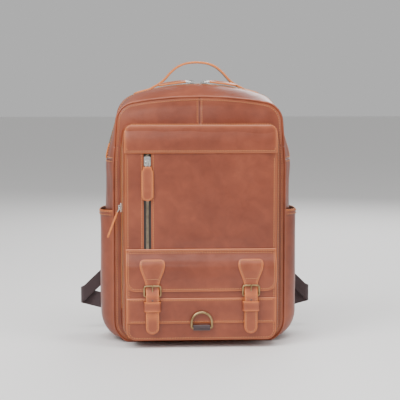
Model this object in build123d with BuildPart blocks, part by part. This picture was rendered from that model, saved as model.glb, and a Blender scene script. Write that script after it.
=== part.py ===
from build123d import *

import os
from math import asin, atan2, cos, degrees, hypot, radians, sin, sqrt

# Leather laptop backpack, modelled as the separate pieces that it is sewn and riveted from.
#
# Frame: millimetres, +Z up, the wearer's back is at +Y and the front of the bag faces -Y.
# The origin is on the floor, under the middle of the main compartment.
# The main compartment is a band of leather between a front and a back panel. The organizer, a flatter
# box, is sewn to its front, and a shallow flap pocket with two buckled straps to the organizer's front.

# ---- driving dimensions, in millimetres ----
LEATHER = 2.0  # thickness of the panels and bands
GAP = 0.5  # room left between pieces of two bodies

BAG_FRONT_Y, BAG_BACK_Y = -47.5, 47.5  # outer faces of the main compartment's panels
RIDGE_Y = 8.0  # half depth of the level stretch that carries the main zip
TOP_Z = 392.0  # highest point of the main compartment
TOP_R = 315.0  # radius of the arched top along the zip
ARC_Z = TOP_Z - TOP_R  # height of that arc's centre
BASE_HALF = 95.0  # half width of the flat bottom panel
MOUTH_Z = 335.0  # where the zipped mouth ends and the leather folds
MOUTH_GAP = 0.4

ORG_FRONT_Y = -88.0  # outer face of the organizer
ORG_BOTTOM_Z, ORG_TOP_Z = 10.0, 331.0
ORG_ZIP_Y = -67.0  # the organizer's side zip lies in the flat of its band
ORG_SIDE_X = 117.0
ORG_ZIP_Z = (60.0, 300.0)
ORG_LEAN_Z = 302.0  # the organizer's sides lean in above this height
ORG_SLIDER_Z = 208.0

ZIP_X = -79.6  # centre line of the upright zip on the organizer's front
ZIP_SLOT = 11.5
ZIP_Z = (146.0, 289.0)
ZIP_SLIDER_Z = 278.0
TOP_BAND_Z = 289.5

POCKET_FRONT_Y = -98.0
POCKET_HALF = 111.0
POCKET_Z = (12.0, 118.0)
BAND_Z = (37.5, 75.0)
BAND_THICK = 0.9

FLAP_HALF = 111.4
FLAP_HINGE = (-89.5, 142.0)  # y, z of the flap's sewn top edge
FLAP_KNEE = (-99.5, 124.0)
FLAP_BOTTOM_Z = 85.5
FLAP_THICK = 2.0

CLOSURE_X = 73.0
TAIL_HALF = 9.6
WIRE = 1.4  # radius of the buckle's wire
HEEL_BAR = (-103.25, 79.0)
TIP_BAR = (-104.8, 94.3)
BUCKLE_HALF = 12.1
SNAP_Z = 48.0

RING_Y, RING_Z = -102.2, 31.0
RING_WIRE = 1.9
RING_R = 15.1

TOOTH_GAP, TOOTH_END = 0.8, 3.0  # each row of zip teeth, from the zip's centre line
TAPE_END = 8.0

HANDLE_Y = 33.0
HANDLE_WIDE = 22.0
HANDLE_THICK = 3.4
HANDLE_TOP_Z = 427.0
HANDLE_FOOT_X, HANDLE_FOOT_Z = 66.0, 386.4
HANDLE_END_HALF, HANDLE_END_LONG = 2.0, 5.0  # the narrow tongue at each end, under the foot
HANDLE_TAPER = 20.0  # length over which the handle narrows to that tongue
FOOT_THICK, FOOT_X, FOOT_LONG = 3.0, 81.0, 26.0

STRAP_TOP = (42.0, 350.0)  # x, z where a shoulder pad leaves the yoke
STRAP_END = (100.0, 124.0)  # x, z of its lower end
PAD_THICK, PAD_HALF = 9.0, 28.0
LOCK_SIZE = (26.0, 34.0, 4.0)  # along the strap, across it, thickness
LOCK_SLOT = (5.0, 27.0)
LOCK_SLOT_PITCH = 11.0
WEB_THICK = 1.6
WEB_Y = 62.2
LOOP_X = 179.0

BOARD_SIZE = (186.0, 86.0, 2.0)
PADDING_SIZE, PADDING_THICK, PADDING_Z = (220.0, 330.0), 6.2, 176.0
DIVIDER_SIZE, DIVIDER_THICK, DIVIDER_Z = (232.0, 302.0), 6.0, 156.0
DIVIDER_Y = 24.0
YOKE_SIZE, YOKE_THICK, YOKE_Z = (156.0, 21.0), 2.2, 363.0

FAR = 300.0  # further than any piece reaches, for boxes that cut one open on a side

os.makedirs("parts", exist_ok=True)


def write(part, name):
    """Labels a finished piece and writes its STEP file."""
    part.label = name
    export_step(part, f"parts/{name}.step")


FORWARD, BACKWARD, RIGHT = (0, -1, 0), (0, 1, 0), (1, 0, 0)


def cross_plane(y):
    """The upright plane at that depth, drawn in x and z and facing the front."""
    return Plane.XZ.offset(-y)


def facing_front(x, y, z):
    """A plane at that point whose normal faces the front."""
    return Plane(origin=(x, y, z), z_dir=FORWARD)


def profile_plane(x):
    """The plane at that x, drawn in y and z and facing +X."""
    return Plane.YZ.offset(x)


# ---- the main compartment's outline at each depth ----
# y, half width, height where the side starts to lean in, corner x, top z, top radius,
# then the fillets at the bottom and at the shoulder
FRONT_RIM = (BAG_FRONT_Y + LEATHER, 129.0, 270.0, 123.0, 372.0, 600.0, 32.0, 30.0)
MIDDLE = (0.0, 143.0, 278.0, 116.0, TOP_Z, TOP_R, 38.0, 48.0)
BACK_RIM = (BAG_BACK_Y - LEATHER, 136.0, 275.0, 118.0, 386.0, 400.0, 34.0, 42.0)


def bag_outline(section, y, inset=0.0):
    """The main compartment's outline at one depth, moved in by inset."""
    _, half, lean_z, corner_x, top_z, top_r, low_fillet, high_fillet = section
    corner_z = top_z - top_r + sqrt(top_r**2 - corner_x**2)
    with BuildSketch(cross_plane(y)) as outline:
        with BuildLine():
            Polyline((-corner_x, corner_z), (-half, lean_z), (-half, 0), (half, 0),
                     (half, lean_z), (corner_x, corner_z))
            ThreePointArc((corner_x, corner_z), (0, top_z), (-corner_x, corner_z))
        make_face()
        fillet(outline.vertices().group_by(Axis.Y)[0], low_fillet)
        fillet(outline.vertices().group_by(Axis.Y)[-1], high_fillet)
        if inset:
            offset(amount=-inset, kind=Kind.INTERSECTION)
    return outline.sketch


def bag_block(inset=0.0):
    """The main compartment between its two panels, filled, with its walls moved in by inset."""
    stations = [(FRONT_RIM, FRONT_RIM[0]), (MIDDLE, -RIDGE_Y), (MIDDLE, RIDGE_Y), (BACK_RIM, BACK_RIM[0])]
    with BuildPart() as block:
        for (near, near_y), (far, far_y) in zip(stations, stations[1:]):
            loft((bag_outline(near, near_y, inset), bag_outline(far, far_y, inset)), ruled=True)
    return block.part


def cut_between(part, low, high):
    """What of a part lies in the box between two corners."""
    size = [b - a for a, b in zip(low, high)]
    centre = [(a + b) / 2 for a, b in zip(low, high)]
    with BuildPart() as piece:
        add(part)
        with Locations(tuple(centre)):
            Box(*size, mode=Mode.INTERSECT)
    return piece.part


def plate(section, y0, y1, z0=0.0, z1=2 * FAR):
    """A panel of the section's outline from depth y0 to y1, between two heights."""
    with BuildPart() as panel:
        extrude(bag_outline(section, y0), amount=y1 - y0, dir=BACKWARD)
        with Locations((0, (y0 + y1) / 2, (z0 + z1) / 2)):
            Box(2 * FAR, 50, z1 - z0, mode=Mode.INTERSECT)
    return panel.part


outer_block = bag_block()
band = outer_block - bag_block(LEATHER)

# ---- bottom, sides and top of the main compartment ----
write(cut_between(band, (-BASE_HALF, -FAR, -5), (BASE_HALF, FAR, 20)), "base_panel")
for side, sign in (("left", -1), ("right", 1)):
    xs = sorted((sign * BASE_HALF, sign * FAR))
    write(cut_between(band, (xs[0], -FAR, -5), (xs[1], FAR, MOUTH_Z)), f"side_gusset_{side}")

CHAIN_HALF_X = 88.0
STRIP_GAP = 7.0  # from the zip's centre line to the leather beside its teeth


def top_strip(y0, y1, z0):
    """Half of the arched top band, with its edge cut back where the zip's teeth show."""
    with BuildPart() as strip:
        add(cut_between(band, (-FAR, y0, z0), (FAR, y1, 2 * FAR)))
        with Locations((0, 0, TOP_Z)):
            Box(2 * CHAIN_HALF_X, 2 * STRIP_GAP, 60, mode=Mode.SUBTRACT)
    return strip.part


write(top_strip(TOOTH_GAP, FAR, MOUTH_Z), "zip_strip_rear")
write(top_strip(-FAR, -TOOTH_GAP, MOUTH_Z + MOUTH_GAP), "zip_strip_front")
write(plate(FRONT_RIM, BAG_FRONT_Y, BAG_FRONT_Y + LEATHER, 0, MOUTH_Z), "main_front_panel")
write(plate(FRONT_RIM, BAG_FRONT_Y, BAG_FRONT_Y + LEATHER, MOUTH_Z + MOUTH_GAP), "mouth_panel")
write(plate(BACK_RIM, BAG_BACK_Y - LEATHER, BAG_BACK_Y), "back_panel")

# ---- stiffener, back padding and laptop divider ----
with BuildPart() as base_board:
    with Locations((0, 0, LEATHER + BOARD_SIZE[2] / 2)):
        Box(*BOARD_SIZE)
    fillet(base_board.edges().filter_by(Axis.Z), 8)
write(base_board.part, "base_board")

with BuildPart() as back_padding:
    with BuildSketch(cross_plane(BAG_BACK_Y - LEATHER - 0.1)):
        with Locations((0, PADDING_Z)):
            RectangleRounded(*PADDING_SIZE, 20)
    extrude(amount=PADDING_THICK)
    fillet(back_padding.faces().sort_by(Axis.Y)[0].edges(), 2.0)
write(back_padding.part, "back_padding")

with BuildPart() as laptop_divider:
    with BuildSketch(cross_plane(DIVIDER_Y)):
        with Locations((0, DIVIDER_Z)):
            RectangleRounded(*DIVIDER_SIZE, 16)
    extrude(amount=DIVIDER_THICK)
    fillet(laptop_divider.faces().filter_by(Axis.Y).edges(), 1.5)
write(laptop_divider.part, "laptop_divider")

# ---- piping along the seams of the main compartment and the organizer ----
PIPE_WIDE, PIPE_DEEP = 2.4, 3.0


def org_outline(half, y, inset=0.0):
    """The organizer's outline at one depth, moved in by inset."""
    with BuildSketch(cross_plane(y)) as outline:
        with BuildLine():
            Polyline((-half, ORG_BOTTOM_Z), (half, ORG_BOTTOM_Z), (half, ORG_LEAN_Z), (half - 4, ORG_TOP_Z),
                     (-half + 4, ORG_TOP_Z), (-half, ORG_LEAN_Z), close=True)
        make_face()
        fillet(outline.vertices().group_by(Axis.Y)[0], 22)
        fillet(outline.vertices().group_by(Axis.Y)[-1], 12)
        if inset:
            offset(amount=-inset, kind=Kind.INTERSECTION)
    return outline.sketch


with BuildPart() as piping:
    for rim, direction in ((FRONT_RIM, FORWARD), (BACK_RIM, BACKWARD)):
        extrude(bag_outline(rim, rim[0], -PIPE_WIDE), amount=PIPE_DEEP, dir=direction)
        extrude(bag_outline(rim, rim[0]), amount=PIPE_DEEP, dir=direction, mode=Mode.SUBTRACT)
    with Locations((0, BAG_FRONT_Y, MOUTH_Z + 100)):
        Box(2 * FAR, 12, 200, mode=Mode.SUBTRACT)
    with Locations((0, 0, -10)):
        Box(2 * FAR, 200, 20, mode=Mode.SUBTRACT)
write(piping.part, "piping")

# ---- organizer: band, front with its slot, top band ----
ORG_STATIONS = ((BAG_FRONT_Y, 120.0), (ORG_ZIP_Y + 10, ORG_SIDE_X), (ORG_ZIP_Y - 10, ORG_SIDE_X),
                (ORG_FRONT_Y + LEATHER, 113.0))  # depth and half width


def org_block(inset=0.0):
    """The organizer behind its front panel, filled, with its walls moved in by inset."""
    with BuildPart() as block:
        for (near_y, near_half), (far_y, far_half) in zip(ORG_STATIONS, ORG_STATIONS[1:]):
            loft((org_outline(near_half, near_y, inset), org_outline(far_half, far_y, inset)), ruled=True)
    return block.part


with BuildPart() as organizer_band:
    add(org_block() - org_block(LEATHER))
    with Locations((-ORG_SIDE_X, ORG_ZIP_Y, sum(ORG_ZIP_Z) / 2)):
        Box(20, ZIP_SLOT, ORG_ZIP_Z[1] - ORG_ZIP_Z[0], mode=Mode.SUBTRACT)
write(organizer_band.part, "organizer_band")

with BuildPart() as organizer_front:
    extrude(org_outline(ORG_STATIONS[-1][1], ORG_FRONT_Y + LEATHER), amount=LEATHER, dir=FORWARD)
    with Locations((ZIP_X, ORG_FRONT_Y, sum(ZIP_Z) / 2)):
        Box(ZIP_SLOT, 20, ZIP_Z[1] - ZIP_Z[0], mode=Mode.SUBTRACT)
write(organizer_front.part, "organizer_front")

with BuildPart() as top_band:
    extrude(org_outline(ORG_STATIONS[-1][1] - 0.4, ORG_FRONT_Y), amount=1.4, dir=FORWARD)
    with Locations((0, ORG_FRONT_Y, TOP_BAND_Z - 200)):
        Box(2 * FAR, 20, 400, mode=Mode.SUBTRACT)
write(top_band.part, "top_band")

# ---- zip chains: a tape and a row of teeth on each side of the centre line ----
ROW_OUT, ROW_IN = 0.6, 3.1  # how far the teeth stand proud of the leather and reach behind it


def arched_row(y0, y1, r0, r1):
    """A bar bent to the arched top, as wide as the chain."""
    half = asin(CHAIN_HALF_X / TOP_R) - radians(0.2)
    with BuildPart() as bar:
        with BuildSketch(cross_plane(y1)):
            with BuildLine():
                ends = [[(r * sin(a), ARC_Z + r * cos(a)) for a in (-half, 0, half)] for r in (r0, r1)]
                ThreePointArc(*ends[0])
                Line(ends[0][2], ends[1][2])
                ThreePointArc(ends[1][2], ends[1][1], ends[1][0])
                Line(ends[1][0], ends[0][0])
            make_face()
        extrude(amount=y1 - y0)
    return bar.part


def main_chain(sign):
    """The tape and teeth of one side of the main zip. sign is 1 at the rear and -1 at the front."""
    teeth_y = sorted((sign * TOOTH_GAP, sign * TOOTH_END))
    tape_y = sorted((sign * (TOOTH_END - 0.4), sign * TAPE_END))
    teeth = arched_row(*teeth_y, TOP_R - ROW_IN, TOP_R + ROW_OUT)
    tape = arched_row(*tape_y, TOP_R - ROW_IN, TOP_R - LEATHER - 0.05)
    return teeth + tape


write(main_chain(1), "main_chain_rear")
write(main_chain(-1), "main_chain_front")


def upright_chain(length):
    """Two straight rows of teeth on their tapes, facing -Y at y = 0, standing on the XY plane."""
    with BuildPart() as chain:
        for sign in (-1, 1):
            with Locations((sign * (TOOTH_GAP + TOOTH_END) / 2, (ROW_IN - ROW_OUT) / 2, length / 2)):
                Box(TOOTH_END - TOOTH_GAP, ROW_IN + ROW_OUT, length)
            with Locations((sign * (TOOTH_END + TAPE_END + 0.5) / 2, LEATHER + 0.6, length / 2)):
                Box(TAPE_END + 0.5 - TOOTH_END, 1.0, length)
    return chain.part


write(Pos(ZIP_X, ORG_FRONT_Y, ZIP_Z[0]) * upright_chain(ZIP_Z[1] - ZIP_Z[0]), "pocket_chain")
write(Pos(-ORG_SIDE_X, ORG_ZIP_Y, ORG_ZIP_Z[0]) * Rot(0, 0, -90) * upright_chain(ORG_ZIP_Z[1] - ORG_ZIP_Z[0]),
      "organizer_chain")

# ---- zip sliders and their leather pulls, drawn with the zip running up and facing -Y ----
SLIDER_HALF_W, SLIDER_LONG = 5.0, 14.0
PLATE = 1.5  # thickness of a slider's plates
SLIDER_OUT = ROW_OUT + 0.4  # underside of the front plate, proud of the leather
SLIDER_IN = ROW_IN + 0.5
CROWN_HALF = 1.5
PIN_Y = -(SLIDER_OUT + PLATE + 1.05)
PIN_R = 0.7


def zip_slider(back_low=-SLIDER_HALF_W, back_high=SLIDER_HALF_W, long=SLIDER_LONG):
    """A slider's two plates, the post between the rows, and the crown that holds the pull."""
    front = -(SLIDER_OUT + PLATE)
    crown_top = PIN_Y - PIN_R - 0.35 - 1.2
    with BuildPart() as slider:
        with Locations((0, (front - SLIDER_OUT) / 2, 0)):
            Box(2 * SLIDER_HALF_W, PLATE, long)
        fillet(slider.edges().filter_by(Axis.Y), 2.0)
        with Locations((0, (SLIDER_IN - SLIDER_OUT) / 2, 0)):
            Box(1.0, SLIDER_IN + SLIDER_OUT, 5)
        with Locations(((back_low + back_high) / 2, SLIDER_IN + PLATE / 2, 0)):
            Box(back_high - back_low, PLATE, long - 2)
        for end in (-1, 1):
            with Locations((0, (front + crown_top) / 2, end * 2.9)):
                Box(2 * CROWN_HALF, front - crown_top, 1.4)
        with Locations((0, crown_top + 0.6, 0)):
            Box(2 * CROWN_HALF, 1.2, 7.2)
    return slider.part


def zip_pull(wide, long, thick=2.6):
    """A leather pull hanging from its pin: two arms beside the crown, then the tab."""
    with BuildPart() as pull:
        with Locations((0, PIN_Y, 0)):
            Cylinder(PIN_R, 6.6, rotation=(0, 90, 0))
        for sign in (-1, 1):
            with Locations((sign * 2.6, PIN_Y, -4.5)):
                Box(1.4, 1.1, 9.6)
        with BuildSketch(cross_plane(PIN_Y + 0.5)):
            with Locations((0, -8.6 - long / 2)):
                RectangleRounded(wide, long, wide * 0.42)
            with Locations((0, -11.2)):
                Rectangle(wide * 0.62, 5.2)
        extrude(amount=thick)
    return pull.part


# the pocket's upright zip
write(Pos(ZIP_X, ORG_FRONT_Y, ZIP_SLIDER_Z) * zip_slider(), "pocket_slider")
write(Pos(ZIP_X, ORG_FRONT_Y, ZIP_SLIDER_Z) * zip_pull(17.0, 50.0), "pocket_pull")

# the organizer's side zip, whose pull stands off the bulging side
ORG_PULL_LEAN = 21.0
side_zip = Pos(-ORG_SIDE_X, ORG_ZIP_Y, ORG_SLIDER_Z) * Rot(0, 0, -90)
write(side_zip * zip_slider(), "organizer_slider")
pin = Pos(0, PIN_Y, 0)
write(side_zip * pin * Rot(-ORG_PULL_LEAN, 0, 0) * pin.inverse() * zip_pull(12.0, 40.0), "organizer_pull")

# the main zip's pair, which part from the middle of the arch
SLIDER_ANGLE = degrees(10.0 / (TOP_R + 1))
for side, sign in (("left", -1), ("right", 1)):
    on_arch = Pos(0, 0, ARC_Z) * Rot(0, sign * SLIDER_ANGLE, 0) * Pos(0, 0, TOP_R)
    laid_back = Rot(-90, 0, 0) * Rot(0, -sign * 90, 0)  # its own up now points to the middle of the arch
    back = (-SLIDER_HALF_W, 0.5) if sign > 0 else (-0.5, SLIDER_HALF_W)
    slider = zip_slider(*back, long=12.0)
    placed = on_arch * laid_back
    write(placed * slider, f"main_slider_{side}")
    write(placed * zip_pull(13.0, 42.0), f"main_pull_{side}")

# ---- flap pocket: front, its band, the stitched band across it, the ring's tab and the snap studs ----
POCKET_LEATHER = 1.5


def pocket_sheet(y0, y1, z0, z1, low_fillet=14.0):
    """A sheet of the pocket's width with rounded bottom corners."""
    with BuildPart() as sheet:
        with BuildSketch(cross_plane(y1)) as shape:
            with Locations((0, (z0 + z1) / 2)):
                Rectangle(2 * POCKET_HALF, z1 - z0)
            if low_fillet:
                fillet(shape.vertices().group_by(Axis.Y)[0], low_fillet)
        extrude(amount=y1 - y0)
    return sheet.part


write(pocket_sheet(POCKET_FRONT_Y, POCKET_FRONT_Y + POCKET_LEATHER, *POCKET_Z), "flap_pocket_front")

with BuildPart() as flap_pocket_band:
    add(pocket_sheet(POCKET_FRONT_Y + POCKET_LEATHER, ORG_FRONT_Y, *POCKET_Z))
    with BuildSketch(cross_plane(ORG_FRONT_Y + 1)) as hollow:
        with Locations((0, POCKET_Z[0] + POCKET_LEATHER + 75)):
            Rectangle(2 * (POCKET_HALF - POCKET_LEATHER), 150)
        fillet(hollow.vertices().group_by(Axis.Y)[0], 12.5)
    extrude(amount=20, mode=Mode.SUBTRACT)
write(flap_pocket_band.part, "flap_pocket_band")

write(pocket_sheet(POCKET_FRONT_Y - BAND_THICK, POCKET_FRONT_Y, *BAND_Z, low_fillet=0), "pocket_strip")

with BuildPart() as ring_tab:
    with BuildSketch(profile_plane(-12.5)):
        with Locations((RING_Y, RING_Z)):
            Circle(3.6)
        with Locations(((RING_Y + POCKET_FRONT_Y) / 2, RING_Z)):
            Rectangle(POCKET_FRONT_Y - RING_Y, 7.2)
        with Locations((RING_Y, RING_Z)):
            Circle(RING_WIRE + 0.3, mode=Mode.SUBTRACT)
    extrude(amount=25)
write(ring_tab.part, "ring_tab")

with BuildPart() as snap_studs:
    for sign in (-1, 1):
        with Locations(facing_front(sign * CLOSURE_X, POCKET_FRONT_Y - BAND_THICK, SNAP_Z)):
            Cylinder(2.5, 2.2, align=(Align.CENTER, Align.CENTER, Align.MIN))
write(snap_studs.part, "snap_studs")

with BuildPart() as d_ring:
    with BuildLine(cross_plane(RING_Y)) as loop:
        bend = 3.0
        bar = Line((-RING_R + bend, RING_Z), (RING_R - bend, RING_Z))
        RadiusArc(bar @ 1, (RING_R, RING_Z + bend), -bend)
        Line((RING_R, RING_Z + bend), (RING_R, RING_Z + 8))
        ThreePointArc((RING_R, RING_Z + 8), (0, RING_Z + 8 + RING_R), (-RING_R, RING_Z + 8))
        Line((-RING_R, RING_Z + 8), (-RING_R, RING_Z + bend))
        RadiusArc((-RING_R, RING_Z + bend), bar @ 0, -bend)
    with BuildSketch(Plane(origin=(0, RING_Y, RING_Z), z_dir=(1, 0, 0))):
        Circle(RING_WIRE)
    sweep()
write(d_ring.part, "d_ring")


# ---- flap and the two leather closures ----
def ribbon(plane, points, thick):
    """A strip of even thickness along a smooth line through the points, as a sketch on that plane."""
    marks = [i / (2 * len(points)) for i in range(2 * len(points) + 1)]
    with BuildSketch(plane) as strip:
        with BuildLine():
            line = Spline(*points, mode=Mode.PRIVATE)
            sides = []
            for sign in (-1, 1):
                row = []
                for mark in marks:
                    at = line @ mark
                    along = line % mark
                    row.append((at.X - sign * along.Y * thick / 2, at.Y + sign * along.X * thick / 2))
                sides.append(Spline(*row))
            Line(sides[0] @ 0, sides[1] @ 0)
            Line(sides[0] @ 1, sides[1] @ 1)
        make_face()
    return strip.sketch


def flap_layer(inner, outer, half, z_low):
    """A layer of leather that follows the flap, from one distance outside its middle line to another."""
    (hinge_y, hinge_z), (knee_y, knee_z) = FLAP_HINGE, FLAP_KNEE
    run = hypot(knee_y - hinge_y, knee_z - hinge_z)
    out_y, out_z = (knee_z - hinge_z) / run, (hinge_y - knee_y) / run  # square to the sloping stretch
    turn = atan2(hinge_y - knee_y, hinge_z - knee_z) / 2  # half the bend at the knee
    with BuildPart() as layer:
        with BuildSketch(profile_plane(-half)):
            with BuildLine():
                rows = []
                for d in (inner, outer):
                    rows.append([(hinge_y + out_y * d, hinge_z + out_z * d),
                                 (knee_y - d, knee_z + d * sin(turn) / cos(turn)),
                                 (knee_y - d, z_low)])
                Polyline(*rows[0], *reversed(rows[1]), close=True)
            make_face()
        extrude(amount=2 * half)
    return layer.part


with BuildPart() as flap:
    add(flap_layer(-FLAP_THICK / 2, FLAP_THICK / 2, FLAP_HALF, FLAP_BOTTOM_Z))
    low_corners = flap.edges().filter_by(Axis.Y).group_by(Axis.Z)[0]
    fillet(low_corners, 15)
write(flap.part, "flap")

SHIELD_THICK = 2.2
SHIELD_Z = (100.5, 132.0)
SHIELD_TOP_HALF, SHIELD_LOW_HALF = 18.0, 10.6
with BuildPart() as flap_shields:
    with BuildSketch(cross_plane(-80)) as shape:
        for x in (-CLOSURE_X, CLOSURE_X):
            with BuildLine():
                Polyline((x - SHIELD_LOW_HALF, SHIELD_Z[0]), (x + SHIELD_LOW_HALF, SHIELD_Z[0]),
                         (x + SHIELD_TOP_HALF, SHIELD_Z[1]), (x - SHIELD_TOP_HALF, SHIELD_Z[1]), close=True)
            make_face()
        fillet(shape.vertices().group_by(Axis.Y)[-1], 7)
    extrude(amount=40)
    add(flap_layer(FLAP_THICK / 2, FLAP_THICK / 2 + SHIELD_THICK, FLAP_HALF, 60), mode=Mode.INTERSECT)
write(flap_shields.part, "flap_shields")

# the strap's tail: under the tip bar, over the heel bar, through the keeper
TAIL_POINTS = ((-102.0, 94.8), (-102.7, 90.0), (-105.6, 84.5), (-107.3, 78.5), (-106.4, 70.0),
               (-104.9, 60.0), (-104.2, 45.0), (-103.8, 23.0))  # y, z
TAIL_THICK = 1.9
TAIL_END_Z = 23.0
SOCKET_R = 7.0
HOLE_Z = 73.2
PRONG_R = 0.95


def closure_tail():
    """The tail with its rounded end, its slot for the prong and its next hole."""
    with BuildPart() as tail:
        extrude(ribbon(profile_plane(-TAIL_HALF), TAIL_POINTS, TAIL_THICK), amount=2 * TAIL_HALF, dir=RIGHT)
        with BuildSketch(cross_plane(-95)):
            with Locations((0, TAIL_END_Z + 45)):
                SlotOverall(90, 2 * TAIL_HALF, rotation=90)
            with Locations((0, 90)):
                Rectangle(2 * TAIL_HALF, 20)
        extrude(amount=20, mode=Mode.INTERSECT)
        with Locations((0, -105, 86.6)):
            Box(3.4, 20, 13.5, mode=Mode.SUBTRACT)
        with Locations((0, -105, HOLE_Z)):
            Cylinder(0.9, 20, rotation=(90, 0, 0), mode=Mode.SUBTRACT)
    return tail.part


def closure_chape():
    """The short strap that holds the heel bar, with a slot for the prong."""
    y, z = HEEL_BAR
    with BuildPart() as chape:
        with BuildSketch(profile_plane(-TAIL_HALF)):
            with Locations((y, z)):
                Circle(2.6)
            with Locations((-101.5, 67.3)):
                Rectangle(1.8, 23.4)
            with Locations((y, z)):
                Circle(WIRE, mode=Mode.SUBTRACT)
        extrude(amount=2 * TAIL_HALF)
        with Locations((0, y, z - 1.0)):
            Box(3.8, 12, 8.0, mode=Mode.SUBTRACT)
    return chape.part


def closure_buckle():
    """A rectangular frame of wire whose upper half stands a little further out."""
    (heel_y, heel_z), (tip_y, tip_z) = HEEL_BAR, TIP_BAR
    lean = Plane(origin=(0, heel_y, heel_z), x_dir=(1, 0, 0),
                 z_dir=Vector(1, 0, 0).cross(Vector(0, tip_y - heel_y, tip_z - heel_z)))
    tall = hypot(tip_y - heel_y, tip_z - heel_z)
    with BuildPart() as frame:
        with BuildLine(lean) as loop:
            FilletPolyline((BUCKLE_HALF, 0), (BUCKLE_HALF, tall), (-BUCKLE_HALF, tall), (-BUCKLE_HALF, 0),
                           radius=3.0, close=True)
        with BuildSketch(Plane(origin=loop.line @ 0, z_dir=loop.line % 0)):
            Circle(WIRE)
        sweep()
    return frame.part


def closure_prong():
    """The prong, free to turn on the heel bar, its tip in front of the tip bar."""
    heel = Vector(0, *HEEL_BAR)
    tip = Vector(0, TIP_BAR[0] - WIRE - 1.6, TIP_BAR[1] + 1.6)
    along = (tip - heel).normalized()
    with BuildPart() as prong:
        with BuildSketch(Plane(origin=heel + along * 2.1, z_dir=along)):
            Circle(PRONG_R)
        extrude(amount=(tip - heel).length - 2.1)
        with Locations(heel):
            Cylinder(2.5, 2.6, rotation=(0, 90, 0))
            Cylinder(WIRE + 0.12, 6, rotation=(0, 90, 0), mode=Mode.SUBTRACT)
    return prong.part


def closure_keeper():
    """The closed loop that the tail and the chape run through."""
    low, high = -108.9, -99.5
    with BuildPart() as keeper:
        with Locations((0, (low + high) / 2, 63.5)):
            Box(24.6, high - low, 14.6)
            Box(22.0, high - low - 2.2, 20, mode=Mode.SUBTRACT)
        fillet(keeper.edges().filter_by(Axis.Z), 1.0)
    return keeper.part


def closure_socket():
    """The snap's socket on the back of the tail, open towards the stud."""
    with BuildPart() as socket:
        with Locations(facing_front(0, -99.7, SNAP_Z)):
            Cylinder(SOCKET_R, 3.8, align=(Align.CENTER, Align.CENTER, Align.MIN))
            Cylinder(3.2, 2.2, align=(Align.CENTER, Align.CENTER, Align.MIN), mode=Mode.SUBTRACT)
        extrude(ribbon(profile_plane(-TAIL_HALF), TAIL_POINTS, TAIL_THICK), amount=2 * TAIL_HALF, dir=RIGHT,
                mode=Mode.SUBTRACT)
    return socket.part


CLOSURE_PIECES = {"strap_tail": closure_tail(), "chape": closure_chape(), "buckle": closure_buckle(),
                  "prong": closure_prong(), "keeper": closure_keeper(), "snap_socket": closure_socket()}
for side, sign in (("left", -1), ("right", 1)):
    for name, piece in CLOSURE_PIECES.items():
        write(Pos(sign * CLOSURE_X, 0, 0) * piece, f"{name}_{side}")


# ---- side pockets ----
SIDE_POCKET_Z = (6.0, 201.5)
SIDE_POCKET_THICK = 1.8


def pocket_hull(extra):
    """The filled shape of both side pockets: it stands off the middle of the side."""
    stations = ((-45.5, 129.05, 36), (-22.0, 148.3, 52), (22.0, 148.3, 52), (45.5, 136.05, 38))
    outlines = [bag_outline((y, half + extra, *MIDDLE[2:6], low, MIDDLE[7]), y) for y, half, low in stations]
    with BuildPart() as hull:
        for near, far in zip(outlines, outlines[1:]):
            loft((near, far), ruled=True)
    return hull.part


pocket_shell = pocket_hull(SIDE_POCKET_THICK) - pocket_hull(0.0) - outer_block
for side, sign in (("left", -1), ("right", 1)):
    xs = sorted((sign * 104, sign * FAR))
    write(cut_between(pocket_shell, (xs[0], -FAR, SIDE_POCKET_Z[0]), (xs[1], FAR, SIDE_POCKET_Z[1])),
          f"side_pocket_{side}")

# ---- carry handle and its two sewn feet ----
with BuildPart() as handle_feet:
    add(bag_block(-FOOT_THICK) - outer_block)
    with Locations((-FOOT_X, HANDLE_Y, 380), (FOOT_X, HANDLE_Y, 380)):
        Box(FOOT_LONG, HANDLE_WIDE, 60, mode=Mode.INTERSECT)
write(handle_feet.part, "handle_feet")

HANDLE_CREST_Z = HANDLE_TOP_Z - HANDLE_THICK / 2
with BuildPart() as handle:
    side_line = [(HANDLE_FOOT_X, HANDLE_FOOT_Z), (54, HANDLE_FOOT_Z + 7), (40, HANDLE_FOOT_Z + 23),
                 (22, HANDLE_CREST_Z - 3.5)]
    line = [(-x, z) for x, z in side_line] + [(0, HANDLE_CREST_Z)] + side_line[::-1]
    extrude(ribbon(cross_plane(HANDLE_Y + HANDLE_WIDE / 2), line, HANDLE_THICK), amount=HANDLE_WIDE,
            dir=FORWARD)
    with BuildSketch(Plane(origin=(0, HANDLE_Y, HANDLE_FOOT_Z - 10))):
        corners = [(HANDLE_FOOT_X - HANDLE_TAPER, HANDLE_WIDE / 2), (HANDLE_FOOT_X, HANDLE_END_HALF),
                   (HANDLE_FOOT_X + HANDLE_END_LONG, HANDLE_END_HALF)]
        front_side = [(x, -y) for x, y in corners]
        back_side = corners[::-1]
        left_end = [(-x, y) for x, y in corners] + [(-x, -y) for x, y in corners[::-1]]
        with BuildLine():
            Polyline(*front_side, *back_side, *left_end, close=True)
        make_face()
    extrude(amount=60, mode=Mode.INTERSECT)
write(handle.part, "carry_handle")

# ---- shoulder straps: yoke, anchors, pads, ladder locks and webbing ----
with BuildPart() as strap_yoke:
    with BuildSketch(cross_plane(BAG_BACK_Y + YOKE_THICK)):
        with Locations((0, YOKE_Z)):
            RectangleRounded(*YOKE_SIZE, 6)
    extrude(amount=YOKE_THICK)
write(strap_yoke.part, "strap_yoke")

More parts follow.
